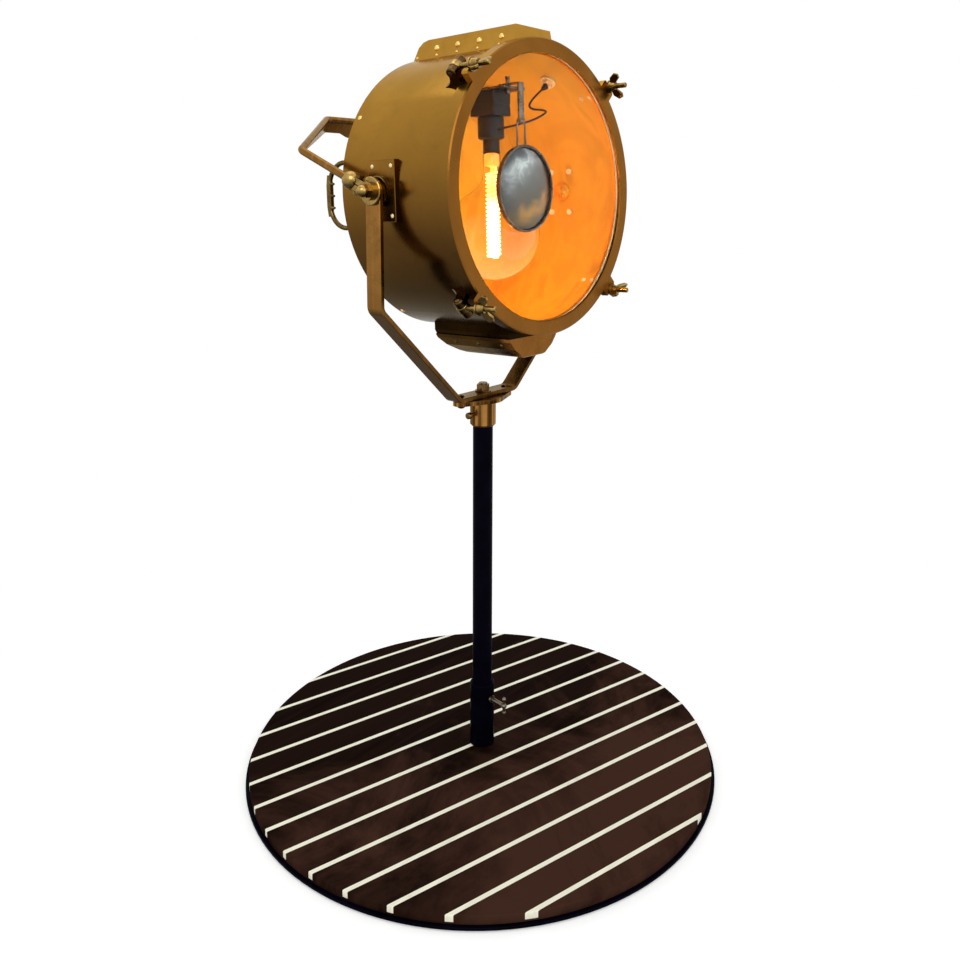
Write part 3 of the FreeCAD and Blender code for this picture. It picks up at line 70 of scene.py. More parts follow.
# Route of the lead from the fitting to the holder, chosen from the photo, in the head frame
LEAD_ROUTE = [
    (0.068, -0.036, 0.128), (0.048, -0.038, 0.109), (0.060, -0.066, 0.106), (0.030, -0.076, 0.095),
    (-0.004, -0.074, 0.084), (-0.006, -0.0326, 0.080)]

# Bulb, which hangs on an upright axis in the head frame. Heights are above the trunnion line, and
# the pulls are the reach of the handles of the curve between the globe and its neck.
BULB_PLACE = HEAD @ Matrix.Translation((0.0, -0.015, 0.0))
GLOBE_HEIGHT = -0.056
SHOULDER_ANGLE = 58
SHOULDER_PULL = 0.022
NECK_PULL = 0.020
NECK_LOW = 0.034
NECK_TOP = 0.050
NECK_TAPER = 0.0014
NECK_TAPER_HEIGHT = 0.003
COIL_LOW = -0.088
COIL_HIGH = 0.026
FOOT_WIRE_TOP = -0.0843
NECK_WIRE_TOP = 0.0337
STEM_OUTLINE = [
    (0.0, -0.084), (0.0030, -0.082), (0.0048, -0.076), (0.0048, -0.040), (0.0030, -0.026),
    (0.0026, 0.031), (0.0050, 0.0325), (0.0097, 0.034), (0.0097, NECK_TOP), (0.0, NECK_TOP)]

# How finely the turned and coiled pieces are cut
GLOBE_STEPS = 96
ARC_STEPS = 40
SHOULDER_STEPS = 14
STEM_STEPS = 40
COIL_STEPS = 28
WIRE_SIDES = 8

# Turns of a straight wire, and of the coil's section
UPRIGHT = Matrix.Identity(3)
SIDEWAYS = Matrix.Rotation(math.pi / 2, 3, "Y")
FACING_ROUND = Matrix.Rotation(math.pi / 2, 3, "X")

# Deck: its planks' slant and width
DECK_TURN = (0.0, 0.0, math.radians(14.7))
PLANK_PITCH = 0.05

# The painted shade on the brass and the painted lamplight inside the drum change between these heights
# above the trunnion line
DRUM_FOOT = -0.18
DRUM_TOP = 0.18

MIRROR_MIDDLE = HEAD @ Vector((-0.015, -0.0835, 0.001))

# Depth of the pits in polished metal
FINE_PITS = 0.00003

# Camera, solved from the photo
CAMERA_AT = (-0.943, -0.8164, 0.8183)
CAMERA_HEADING = (0.7753, 0.6315)
CAMERA_PITCH = math.radians(8.22)
CAMERA_ROLL = math.radians(0.41)
LENS_SHIFT = (-0.0317, -0.1639)
SENSOR_WIDTH = 36.0

# Stage: the floor shades near the base and fades to plain white between two radii
LIGHT_AIM = Vector((0.0, 0.0, 0.6))
FLOOR_WHITE = (0.95, 0.95, 0.95, 1.0)
FLOOR_GLOW = 0.28
FADE_FROM = 0.36
FADE_TO = 0.9
WHITE = (1.0, 1.0, 1.0, 1.0)

# Lights at the filament: name, height above the trunnion line and share of the bulb's power
BULB_LIGHTS = [("bulb_light_low", -0.060, 0.55), ("bulb_light_high", 0.015, 0.45)]
BULB_COLOUR = (1.0, 0.66, 0.34)
BULB_LIGHT_RADIUS = 0.02


# Settings that a user would change


def colour(name, description, value):
    return bpy.props.FloatVectorProperty(
        name=name, description=description, subtype="COLOR", size=3, min=0.0, max=1.0, default=value)


def length(name, description, value):
    return bpy.props.FloatProperty(
        name=name, description=description, unit="LENGTH", subtype="DISTANCE", min=0.0, default=value)


def strength(name, description, value):
    return bpy.props.FloatProperty(name=name, description=description, min=0.0, default=value)


class LampColours(bpy.types.PropertyGroup):
    """Colours of the lamp's finishes."""

    drum_brass: colour("Drum brass", "Aged brass of the drum and the hood", (0.42, 0.215, 0.032))
    ring_brass: colour("Ring brass", "Red-brown brass of the front ring", (0.215, 0.086, 0.014))
    yoke_brass: colour("Yoke brass", "Satin brass of the yoke and the bail", (0.235, 0.110, 0.026))
    bright_brass: colour("Bright brass", "Worn bright brass of nuts and clamps", (0.52, 0.34, 0.11))
    # Painted highlight: the lit brass is pale to stand in for the bulb's glints on the fittings inside
    lit_brass: colour("Lit brass", "Fittings that the lamp lights from inside", (1.0, 0.80, 0.46))
    bronze: colour("Bronze", "Dark patina of the lugs and the fittings", (0.15, 0.080, 0.030))
    box_brass: colour("Box brass", "Darkened brass of the box underneath", (0.230, 0.092, 0.018))
    inner_brass: colour("Inner brass", "Satin inside of the drum", (0.90, 0.405, 0.028))
    steel: colour("Steel", "Dulled steel of the fittings inside", (0.16, 0.13, 0.10))
    paint: colour("Black paint", "Paint of the post and the plinth", (0.0014, 0.0011, 0.0036))
    deck_wood: colour("Deck wood", "Varnished planks of the deck", (0.0100, 0.0044, 0.0028))
    inlay: colour("Inlay", "Pale strips between the planks", (1.0, 0.98, 0.78))
    holder: colour("Holder", "Dark moulding of the lamp holder", (0.022, 0.015, 0.009))
    seal: colour("Seal", "Pale seal behind the front glass", (0.95, 0.80, 0.50))
    glow: colour("Glow", "Light of the filament", (1.0, 0.66, 0.26))


class LampSizes(bpy.types.PropertyGroup):
    """Sizes of the pieces that are made here, and the filament's brightness."""

    coil_radius: length("Coil radius", "Radius of the filament's turns", 8.0 * MM)
    coil_pitch: length("Coil pitch", "Rise of one turn of the filament", 5.4 * MM)
    wire_radius: length("Wire radius", "Radius of the filament's wire", 1.5 * MM)
    globe_radius: length("Globe radius", "Outer radius of the globe bulb", 62.5 * MM)
    globe_wall: length("Globe wall", "Thickness of the bulb's glass", 0.9 * MM)
    neck_radius: length("Neck radius", "Outer radius of the bulb's neck", 12.0 * MM)
    lead_radius: length("Lead radius", "Radius of the lamp's inner lead", 1.4 * MM)
    glow_strength: strength("Glow strength", "Brightness of the filament", 14.0)


class StageSettings(bpy.types.PropertyGroup):
    """Camera, floor and lights."""

    lens: bpy.props.FloatProperty(name="Lens", description="Focal length", unit="CAMERA", default=34.34)
    floor_radius: length("Floor radius", "Radius of the pale floor", 6.0)
    key_power: strength("Key light", "Power of the large light at the left", 17.5)
    fill_power: strength("Fill light", "Power of the lights in front and on top", 7.0)
    world_light: strength("World light", "Even light from all round", 0.66)
    bulb_power: strength("Bulb light", "Power of the lamp inside the drum", 1.10)


# Materials


class Finish:
    """A material under construction, with its Principled shader and its object coordinates."""

    def __init__(self, name, metallic=0.0, roughness=0.5):
        self.name = name
        self.material = bpy.data.materials.new(name)
        self.material.use_nodes = True
        self.tree = self.material.node_tree
        self.tree.nodes.clear()
        self.surface = self.add("ShaderNodeBsdfPrincipled")
        self.surface.inputs["Metallic"].default_value = metallic
        self.surface.inputs["Roughness"].default_value = roughness
        self.output = self.add("ShaderNodeOutputMaterial")
        self.tree.links.new(self.surface.outputs["BSDF"], self.output.inputs["Surface"])
        self.place = self.add("ShaderNodeTexCoord").outputs["Object"]

    def add(self, kind, **settings):
        node = self.tree.nodes.new(kind)
        for key, value in settings.items():
            setattr(node, key, value)
        return node

    def feed(self, node, name, value):
        """Set a socket to a plain value, or link it to another node's output."""
        socket = node.inputs[name]
        if isinstance(value, bpy.types.NodeSocket):
            self.tree.links.new(value, socket)
        else:
            socket.default_value = value

    def set(self, **values):
        """Set or link the shader's sockets, named with underscores for spaces."""
        for name, value in values.items():
            self.feed(self.surface, name.replace("_", " "), value)

    def linked(self, name):
        """The output that feeds one of the shader's sockets so far."""
        return self.surface.inputs[name].links[0].from_socket

    def mapped(self, scale=(1, 1, 1), turn=(0, 0, 0)):
        node = self.add("ShaderNodeMapping")
        self.feed(node, "Vector", self.place)
        self.feed(node, "Scale", scale)
        self.feed(node, "Rotation", turn)
        return node.outputs["Vector"]

    def noise(self, scale, detail=4.0, roughness=0.55, distortion=0.0, at=None):
        node = self.add("ShaderNodeTexNoise")
        self.feed(node, "Vector", at or self.place)
        self.feed(node, "Scale", scale)
        self.feed(node, "Detail", detail)
        self.feed(node, "Roughness", roughness)
        self.feed(node, "Distortion", distortion)
        return node.outputs["Fac"]

    def ramp(self, value, stops):
        """Colour ramp from (position, colour) pairs."""
        node = self.add("ShaderNodeValToRGB")
        self.feed(node, "Fac", value)
        band = node.color_ramp.elements
        while len(band) < len(stops):
            band.new(0.5)
        for element, (position, tint) in zip(band, stops):
            element.position = position
            element.color = (*tint, 1.0)
        return node.outputs["Color"]

    def span(self, value, low, high, to_low, to_high):
        """Carry a value from one range to another, held at its ends."""
        node = self.add("ShaderNodeMapRange")
        for name, number in (("Value", value), ("From Min", low), ("From Max", high),
                             ("To Min", to_low), ("To Max", to_high)):
            self.feed(node, name, number)
        return node.outputs["Result"]

    def blend(self, amount, first, second, how="MIX"):
        node = self.add("ShaderNodeMix", data_type="RGBA", blend_type=how)
        sockets = {socket.identifier: socket for socket in node.inputs}
        for name, value in (("Factor_Float", amount), ("A_Color", first), ("B_Color", second)):
            if isinstance(value, bpy.types.NodeSocket):
                self.tree.links.new(value, sockets[name])
            elif name == "Factor_Float":
                sockets[name].default_value = value
            else:
                sockets[name].default_value = (*value, 1.0)
        return next(socket for socket in node.outputs if socket.identifier == "Result_Color")

    def tint_by(self, first, second):
        return self.blend(1.0, first, second, "MULTIPLY")

    def arithmetic(self, how, first, second):
        node = self.add("ShaderNodeMath", operation=how)
        self.feed(node, 0, first)
        self.feed(node, 1, second)
        return node.outputs["Value"]

    def plus(self, first, second):
        return self.arithmetic("ADD", first, second)

    def minus(self, first, second):
        return self.arithmetic("SUBTRACT", first, second)

    def times(self, first, second):
        return self.arithmetic("MULTIPLY", first, second)

    def vector_math(self, how, output, *values):
        node = self.add("ShaderNodeVectorMath", operation=how)
        for i, value in enumerate(values):
            self.feed(node, i, value)
        return node.outputs[output]

    def along(self, axis, vector=None):
        """One coordinate of a vector, or of the place on the piece."""
        node = self.add("ShaderNodeSeparateXYZ")
        self.feed(node, "Vector", vector or self.place)
        return node.outputs[axis]

    def normal(self):
        return self.add("ShaderNodeNewGeometry").outputs["Normal"]

    def lamp_height(self):
        """Height above the trunnion line."""
        return self.minus(self.along("Z"), PIVOT.z)

    def up_the_drum(self):
        """0 at the foot of the drum and 1 at its top."""
        return self.span(self.lamp_height(), DRUM_FOOT, DRUM_TOP, 0.0, 1.0)

    def bump(self, height, distance, amount=1.0):
        node = self.add("ShaderNodeBump")
        self.feed(node, "Height", height)
        self.feed(node, "Distance", distance)
        self.feed(node, "Strength", amount)
        self.feed(self.surface, "Normal", node.outputs["Normal"])


def tinted(tint, factor):
    return tuple(min(1.0, c * factor) for c in tint)


def aged_metal(name, tint, dark, light, roughness, grime, patch, pits=0.00012, under=0.0):
    """Brass or steel with clouds of patina, stains, specks, fine scratches and uneven gloss.

    dark and light are shares of the tint, patch is the clouds' scale, and under is the strength of a
    painted shade that darkens the faces that look down.
    """
    f = Finish(name, metallic=1.0)
    f.set(Specular_Tint=(0.80, 0.72, 0.58, 1.0))
    clouds = f.noise(patch, 6.0, 0.6, 0.6)
    body = f.ramp(clouds, [(0.25, tinted(tint, dark + 0.25)), (0.48, tint), (0.78, tinted(tint, light))])
    stains = f.noise(patch * 3.7, 8.0, 0.7, 1.2)
    stained = f.blend(f.span(stains, 0.52, 0.74, 0.0, grime), body, tinted(tint, dark))
    specks = f.noise(patch * 46, 3.0, 0.6)
    aged = f.blend(f.span(specks, 0.60, 0.72, 0.0, 0.35 * grime), stained, tinted(tint, dark * 0.7))
    # Painted shade: faces that look down are darkened towards a twentieth of the tint
    if under:
        down = f.span(f.along("Z", f.normal()), -0.45, 0.30, under, 0.0)
        aged = f.blend(down, aged, tinted(tint, 0.05))
    f.set(Base_Color=aged)
    gloss = f.noise(patch * 2.3, 7.0, 0.65, 0.4)
    f.set(Roughness=f.span(gloss, 0.3, 0.7, roughness - 0.08, roughness + 0.14))
    scratches = f.noise(90.0, 4.0, 0.7, at=f.mapped((1.0, 6.0, 1.0), (0.3, 0.2, 0.5)))
    f.bump(f.plus(scratches, specks), pits, 0.6)
    return f


# Meshes


def finish_bulb_piece(name, bm, material, node):
    """Turn a bmesh that stands on the bulb's axis into a piece of the head that replaces a node."""
    bmesh.ops.remove_doubles(bm, verts=bm.verts, dist=1e-6)
    bmesh.ops.recalc_face_normals(bm, faces=bm.faces)
    bmesh.ops.transform(bm, matrix=BULB_PLACE, verts=bm.verts)
    mesh = bpy.data.meshes.new(name)
    bm.to_mesh(mesh)
    bm.free()
    for polygon in mesh.polygons:
        polygon.use_smooth = True
    mesh.materials.append(material)
    piece = bpy.data.objects.new(name, mesh)
    bpy.context.scene.collection.objects.link(piece)
    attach(piece, "head")
    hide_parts(node)
    return piece


def lathe(bm, points, steps):
    """Turn a chain of points in the XZ plane round the Z axis."""
    verts = [bm.verts.new(p) for p in points]
    edges = [bm.edges.new(pair) for pair in zip(verts, verts[1:])]
    bmesh.ops.spin(bm, geom=verts + edges, cent=(0, 0, 0), axis=(0, 0, 1), dvec=(0, 0, 0),
                   angle=math.tau, steps=steps, use_merge=True)


def arc(height, radius, start, end, steps):
    """Points (x, 0, z) of an arc round a middle on the Z axis, with its angles in degrees."""
    points = []
    for i in range(steps + 1):
        t = math.radians(start + (end - start) * i / steps)
        points.append(Vector((radius * math.cos(t), 0.0, height + radius * math.sin(t))))
    return points


# Operators, one for each piece or group of like pieces


class LAMP_OT_stage(bpy.types.Operator):
    """Make the camera, the pale floor and the soft lights"""

    bl_idname = "lamp.stage"
    bl_label = "Stage"

    def execute(self, context):
        settings = context.scene.lamp_stage
        self.camera(context, settings)
        self.floor(context, settings)
        self.world(context, settings)
        self.area_light(context, "key_light", at=(-1.9, -1.5, 2.3), size=1.8,
                        power=settings.key_power, tint=(1.0, 0.97, 0.92))
        self.area_light(context, "fill_light", at=(-0.3, -2.5, 1.4), size=1.6,
                        power=settings.fill_power, tint=(0.96, 0.98, 1.0))
        self.area_light(context, "top_light", at=(0.2, 0.6, 2.7), size=1.6,
                        power=settings.fill_power, tint=(1.0, 1.0, 1.0))
        for name, height, share in BULB_LIGHTS:
            self.bulb_light(context, name, height, settings.bulb_power * share)
        return {"FINISHED"}

    def camera(self, context, settings):
        data = bpy.data.cameras.new("camera")
        data.lens = settings.lens
        data.sensor_width = SENSOR_WIDTH
        data.shift_x, data.shift_y = LENS_SHIFT
        data.clip_start = 0.05
        data.clip_end = 50.0
        camera = bpy.data.objects.new("camera", data)
        context.scene.collection.objects.link(camera)
        level = math.cos(CAMERA_PITCH)
        ahead = Vector((CAMERA_HEADING[0] * level, CAMERA_HEADING[1] * level, -math.sin(CAMERA_PITCH)))
        ahead.normalize()
        right = ahead.cross(Vector((0, 0, 1))).normalized()
        up = right.cross(ahead)
        turned = Matrix((right, up, -ahead)).transposed().to_4x4()
        roll = Matrix.Rotation(CAMERA_ROLL, 4, "Z")
        camera.matrix_world = Matrix.Translation(CAMERA_AT) @ turned @ roll
        context.scene.camera = camera
        context.scene.view_settings.view_transform = "Standard"

    def floor(self, context, settings):
        bm = bmesh.new()
        bmesh.ops.create_circle(bm, cap_ends=True, segments=96, radius=settings.floor_radius)
        mesh = bpy.data.meshes.new("floor")
        bm.to_mesh(mesh)
        bm.free()
        floor = bpy.data.objects.new("floor", mesh)
        context.scene.collection.objects.link(floor)
        f = Finish("pale_floor", roughness=0.9)
        rays = f.add("ShaderNodeLightPath")
        f.set(Base_Color=FLOOR_WHITE, Emission_Color=WHITE)
        f.set(Emission_Strength=f.times(rays.outputs["Is Camera Ray"], FLOOR_GLOW))
        fade = f.span(f.vector_math("LENGTH", "Value", f.place), FADE_FROM, FADE_TO, 0.0, 1.0)
        mix = f.add("ShaderNodeMixShader")
        f.feed(mix, 0, fade)
        f.feed(mix, 1, f.surface.outputs["BSDF"])
        f.feed(mix, 2, f.add("ShaderNodeEmission").outputs["Emission"])
        f.tree.links.new(mix.outputs["Shader"], f.output.inputs["Surface"])
        mesh.materials.append(f.material)

    def world(self, context, settings):
        """Even light that the camera, reflections and glass see as white."""
        world = bpy.data.worlds.new("studio")
        context.scene.world = world
        world.use_nodes = True
        tree = world.node_tree
        tree.nodes.clear()
        rays = tree.nodes.new("ShaderNodeLightPath")
        seen = rays.outputs["Is Camera Ray"]
        for kind in ("Is Transmission Ray", "Is Glossy Ray"):
            either = tree.nodes.new("ShaderNodeMath")
            either.operation = "MAXIMUM"
            tree.links.new(seen, either.inputs[0])
            tree.links.new(rays.outputs[kind], either.inputs[1])
            seen = either.outputs["Value"]
        level = tree.nodes.new("ShaderNodeMapRange")
        level.inputs["To Min"].default_value = settings.world_light
        level.inputs["To Max"].default_value = 1.0
        tree.links.new(seen, level.inputs["Value"])
        background = tree.nodes.new("ShaderNodeBackground")
        background.inputs["Color"].default_value = WHITE
        tree.links.new(level.outputs["Result"], background.inputs["Strength"])
        output = tree.nodes.new("ShaderNodeOutputWorld")
        tree.links.new(background.outputs["Background"], output.inputs["Surface"])

    def area_light(self, context, name, at, size, power, tint):
        data = bpy.data.lights.new(name, "AREA")
        data.energy = power
        data.size = size
        data.color = tint
        light = bpy.data.objects.new(name, data)
        context.scene.collection.objects.link(light)
        light.location = at
        light.rotation_euler = (LIGHT_AIM - Vector(at)).to_track_quat("-Z", "Y").to_euler()

    def bulb_light(self, context, name, height, power):
        """Warm light at the filament, which turns with the lamp."""
        data = bpy.data.lights.new(name, "POINT")
        data.energy = power
        data.color = BULB_COLOUR
        data.shadow_soft_size = BULB_LIGHT_RADIUS
        light = bpy.data.objects.new(name, data)
        context.scene.collection.objects.link(light)
        light.location = BULB_PLACE @ Vector((0.0, 0.0, height))
        light.visible_glossy = False
        light.visible_transmission = False
        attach(light, "head")


class LAMP_OT_finishes(bpy.types.Operator):
    """Make every finish of the lamp"""

    bl_idname = "lamp.finishes"
    bl_label = "Finishes"

    def execute(self, context):
        tints = context.scene.lamp_colours
        finishes.clear()
        self.metals(tints)
        finishes["drum"] = self.drum(tints)
        finishes["ring_brass"] = self.ring(tints)
        finishes["pad_brass"] = self.pad(tints)
        finishes["yoke_brass"] = self.yoke(tints)
        finishes["box_pan"] = self.box(tints)
        finishes["paint"] = self.paint(tints)
        finishes["wood"] = self.wood(tints)
        finishes["inlay"] = self.inlay(tints)
        finishes["holder"] = self.holder(tints)
        finishes["rubber"] = self.rubber()
        finishes["seal"] = self.seal(tints)
        finishes["clear_glass"] = self.clear_glass()
        finishes["bulb_glass"] = self.bulb_glass()
        finishes["stem_glass"] = self.stem_glass()
        finishes["mirror"] = self.mirror()
        finishes["glow"] = self.glow(tints, context.scene.lamp_sizes.glow_strength)
        finishes["sleeve"] = self.sleeve()
        return {"FINISHED"}

    def metals(self, tints):
        """Metals that need no more than the common patina and its painted shade."""
        made = [
            self.shaded_brass("aged_brass", tints.drum_brass, roughness=0.24, patch=6.0),
            aged_metal("rivets", tinted(tints.bright_brass, 1.7), dark=0.5, light=1.3, roughness=0.2,
                       grime=0.4, patch=60.0),
            aged_metal("bright_brass", tints.bright_brass, dark=0.16, light=1.55, roughness=0.13,
                       grime=0.8, patch=40.0, pits=FINE_PITS, under=0.92),
            aged_metal("clamp_brass", tinted(tints.bright_brass, 0.75), dark=0.08, light=2.1,
                       roughness=0.12, grime=1.0, patch=110.0, pits=FINE_PITS, under=0.95),
            aged_metal("dark_brass", tinted(tints.bright_brass, 0.35), dark=0.12, light=1.9,
                       roughness=0.15, grime=0.9, patch=45.0, pits=FINE_PITS, under=0.9),
            aged_metal("bronze", tints.bronze, dark=0.25, light=2.6, roughness=0.16, grime=0.8,
                       patch=30.0, pits=FINE_PITS, under=0.9),
            aged_metal("box_neck", tinted(tints.box_brass, 0.05), dark=0.4, light=1.8, roughness=0.25,
                       grime=0.6, patch=20.0),
            aged_metal("inner_brass", tints.inner_brass, dark=0.6, light=1.1, roughness=0.40,
                       grime=0.3, patch=10.0),
            aged_metal("steel", tints.steel, dark=0.2, light=2.4, roughness=0.26, grime=0.7, patch=45.0),
        ]
        # Painted highlight: pale, barely metallic brass for the fittings inside the drum
        lit = aged_metal("lit_brass", tints.lit_brass, dark=0.5, light=1.2, roughness=0.2, grime=0.4,
                         patch=60.0, pits=FINE_PITS)
        lit.set(Metallic=0.2)
        for finish in made + [lit]:
            finishes[finish.name] = finish.material

    def shaded_brass(self, name, tint, roughness, patch):
        """Aged brass with a painted shade that deepens from the top of the lamp to its underside."""
        f = aged_metal(name, tint, dark=0.55, light=1.25, roughness=roughness, grime=0.3, patch=patch,
                       pits=0.00006)
        # Painted shade: the colour darkens down the lamp to near black at its foot, and darkens further
        # near the front ring
        patina = f.ramp(f.up_the_drum(), [
            (0.0, (0.05, 0.045, 0.10)), (0.16, (0.08, 0.070, 0.15)), (0.34, (0.22, 0.20, 0.30)),
            (0.58, (0.60, 0.57, 0.62)), (0.95, (1.0, 1.0, 1.0))])
        near_ring = f.span(f.along("Y"), -0.085, 0.03, 0.35, 0.0)
        deeper_shade = f.blend(near_ring, patina, f.tint_by(patina, patina))
        f.set(Base_Color=f.tint_by(f.linked("Base Color"), deeper_shade))
        f.set(Metallic=f.span(f.lamp_height(), DRUM_FOOT, -0.08, 0.25, 1.0), IOR=1.08)
        return f

    def drum(self, tints):
        """Aged brass outside with its painted shade, satin orange brass inside with painted lamplight."""
        f = self.shaded_brass("drum_brass", tints.drum_brass, roughness=0.17, patch=5.0)
        outwards = f.vector_math("SUBTRACT", "Vector", f.place, tuple(PIVOT))
        facing = f.vector_math("DOT_PRODUCT", "Value", outwards, f.normal())
        inside = f.span(facing, -0.02, 0.02, 1.0, 0.0)
        smear = f.noise(1.0, 6.0, 0.6, 2.2, at=f.mapped((4.0, 9.0, 5.0), (0.2, 0.5, 0.3)))
        warm = f.ramp(smear, [
            (0.30, tinted(tints.inner_brass, 0.66)), (0.46, tints.inner_brass),
            (0.60, tinted(tints.inner_brass, 0.84)), (0.72, tints.inner_brass)])
        # Painted lamplight: the inside is tinted yellow low down and paler and bluer towards the top
        lamplight = f.ramp(f.up_the_drum(), [
            (0.0, (1.0, 0.92, 0.25)), (0.5, (0.82, 0.91, 0.85)), (1.0, (0.80, 1.12, 2.4))])
        f.set(Base_Color=f.blend(inside, f.linked("Base Color"), f.tint_by(warm, lamplight)))
        f.set(Metallic=f.times(f.linked("Metallic"), f.minus(1.0, f.times(inside, 0.8))))
        f.set(Roughness=f.plus(f.linked("Roughness"), f.times(inside, 0.25)))
        return f.material

    def ring(self, tints):
        """Red-brown face of the ring, with a side that has aged like the drum and carries its painted
        shade.
        """
        f = self.shaded_brass("ring_brass", tints.drum_brass, roughness=0.22, patch=5.0)
        face = f.ramp(f.noise(6.0, 6.0, 0.6, 0.6), [
            (0.25, tinted(tints.ring_brass, 0.8)), (0.48, tints.ring_brass),
            (0.78, tinted(tints.ring_brass, 1.45))])
        ahead = f.span(f.along("Y", f.normal()), -0.75, -0.45, 1.0, 0.0)
        f.set(Base_Color=f.blend(ahead, f.linked("Base Color"), face))
        return f.material

    def pad(self, tints):
        """Plate under the trunnion, with painted shade on its edges."""
        f = self.shaded_brass("pad_brass", tints.drum_brass, roughness=0.22, patch=8.0)
        # Painted shade: faces that do not look out along X, the plate's edges, are darkened to a tenth of
        # the drum's tint
        sideways = f.arithmetic("ABSOLUTE", f.along("X", f.normal()), 0.0)
        painted_shade_edge = f.span(sideways, 0.55, 0.85, 0.9, 0.0)
        f.set(Base_Color=f.blend(painted_shade_edge, f.linked("Base Color"), tinted(tints.drum_brass, 0.10)))
        return f.material

    def yoke(self, tints):
        """Satin brass, darker towards the post, with painted shade on the faces that look down and painted
        reflection streaks on the collar.
        """
        f = aged_metal("yoke_brass", tints.yoke_brass, dark=0.45, light=1.35, roughness=0.2, grime=0.45,
                       patch=12.0)
        body = f.linked("Base Color")
        # Painted reflection: upright light and dark streaks, full on the collar and faint elsewhere
        painted_reflection_streaks = f.ramp(f.noise(1.0, 2.0, 0.5, at=f.mapped((125.0, 125.0, 2.0))), [
            (0.40, (0.16, 0.15, 0.17)), (0.48, (0.55, 0.52, 0.50)), (0.54, (0.9, 0.9, 0.9)),
            (0.61, (2.4, 2.5, 2.7))])
        on_collar = f.span(f.lamp_height(), -0.284, -0.278, 1.0, 0.12)
        with_painted_streaks = f.blend(on_collar, body, f.tint_by(body, painted_reflection_streaks))
        # Darker towards the post, by height
        patina = f.ramp(f.span(f.lamp_height(), -0.30, -0.10, 0.0, 1.0), [
            (0.09, (0.62, 0.60, 0.58)), (0.12, (0.46, 0.44, 0.42)), (0.50, (0.48, 0.46, 0.44)),
            (0.90, (1.0, 1.0, 1.0))])
        # Painted shade: faces that look down are darkened to 0.16 of the tint and made less metallic
        painted_shade_below = f.span(f.along("Z", f.normal()), -0.62, -0.15, 0.88, 0.0)
        f.set(Base_Color=f.blend(painted_shade_below, f.tint_by(with_painted_streaks, patina), tinted(tints.yoke_brass, 0.16)))
        f.set(Metallic=f.span(painted_shade_below, 0.0, 1.0, 1.0, 0.1), IOR=1.06)
        return f.material

    def box(self, tints):
        """Box pan with painted shade on all but its front, which is paler."""
        f = aged_metal("box_pan", tints.box_brass, dark=0.3, light=1.25, roughness=0.28, grime=0.4,
                       patch=14.0)
        # Painted shade: everything behind the front face is darkened towards a nearly black tint
        back = f.span(f.along("Y"), -0.079, -0.070, 0.0, 0.85)
        f.set(Base_Color=f.blend(back, f.linked("Base Color"), tinted(tints.box_brass, 0.055)))
        return f.material

    def paint(self, tints):
        """Satin black with a faint blue cast."""
        f = Finish("black_paint")
        clouds = [(0.3, tinted(tints.paint, 0.6)), (0.7, tinted(tints.paint, 1.8))]
        f.set(Base_Color=f.ramp(f.noise(30.0, 5.0), clouds))
        f.set(Roughness=f.span(f.noise(14.0, 6.0), 0.3, 0.7, 0.22, 0.38), IOR=1.06)
        f.bump(f.noise(260.0, 3.0), 0.0001, 0.5)
        return f.material

    def wood(self, tints):
        """Varnished planks with grain along them, a shade of their own each and worn patches."""
        f = Finish("deck_wood")
        across = f.along("Y", f.mapped(turn=DECK_TURN))
        plank = f.arithmetic("FLOOR", f.arithmetic("DIVIDE", across, PLANK_PITCH), 0.0)
        shade = f.add("ShaderNodeTexWhiteNoise", noise_dimensions="1D")
        f.feed(shade, "W", plank)
        grain = f.noise(1.0, 6.0, 0.6, 0.5, at=f.mapped((5.0, 130.0, 60.0), DECK_TURN))
        rings = f.noise(1.0, 3.0, 0.5, 1.5, at=f.mapped((2.0, 34.0, 20.0), DECK_TURN))
        tone = f.ramp(f.times(grain, rings), [
            (0.12, tinted(tints.deck_wood, 0.55)), (0.28, tints.deck_wood),
            (0.45, tinted(tints.deck_wood, 1.9))])
        own_shade = f.span(shade.outputs["Value"], 0, 1, 0.0, 0.6)
        lighter = f.blend(own_shade, tone, tinted(tints.deck_wood, 1.8))
        away = f.plus(f.along("Y"), f.times(f.along("X"), 0.1))
        wear = f.plus(f.noise(4.0, 7.0, 0.65, 1.0), f.span(away, -0.20, 0.22, 0.14, -0.16))
        worn = f.span(wear, 0.44, 0.66, 0.0, 1.0)
        f.set(Base_Color=f.blend(worn, lighter, tinted(tints.deck_wood, 5.6)))
        f.set(Roughness=f.span(f.noise(5.0, 7.0), 0.3, 0.7, 0.34, 0.55), IOR=1.03)
        f.bump(f.plus(grain, f.noise(40.0, 5.0)), 0.0004, 0.5)
        return f.material

    def inlay(self, tints):
        """Pale strips with fine grain and a little dirt."""
        f = Finish("pale_inlay")
        grain = f.noise(1.0, 5.0, 0.6, 0.3, at=f.mapped((8.0, 260.0, 60.0), DECK_TURN))
        tone = f.ramp(grain, [(0.3, tinted(tints.inlay, 0.85)), (0.6, tints.inlay)])
        dirt = f.span(f.noise(22.0, 8.0, 0.7), 0.60, 0.80, 0.0, 0.4)
        f.set(Base_Color=f.blend(dirt, tone, (0.36, 0.28, 0.18)))
        f.bump(grain, 0.0002, 0.4)
        return f.material

    def holder(self, tints):
        """Dark moulding that has gone brown and uneven."""
        f = Finish("holder_black")
        clouds = [(0.3, tinted(tints.holder, 0.6)), (0.75, tinted(tints.holder, 2.2))]
        f.set(Base_Color=f.ramp(f.noise(60.0, 5.0), clouds))
        f.set(Roughness=f.span(f.noise(90.0, 5.0), 0.3, 0.7, 0.35, 0.55), Specular_IOR_Level=0.35)
        f.bump(f.noise(400.0, 3.0), 0.0001, 0.5)
        return f.material

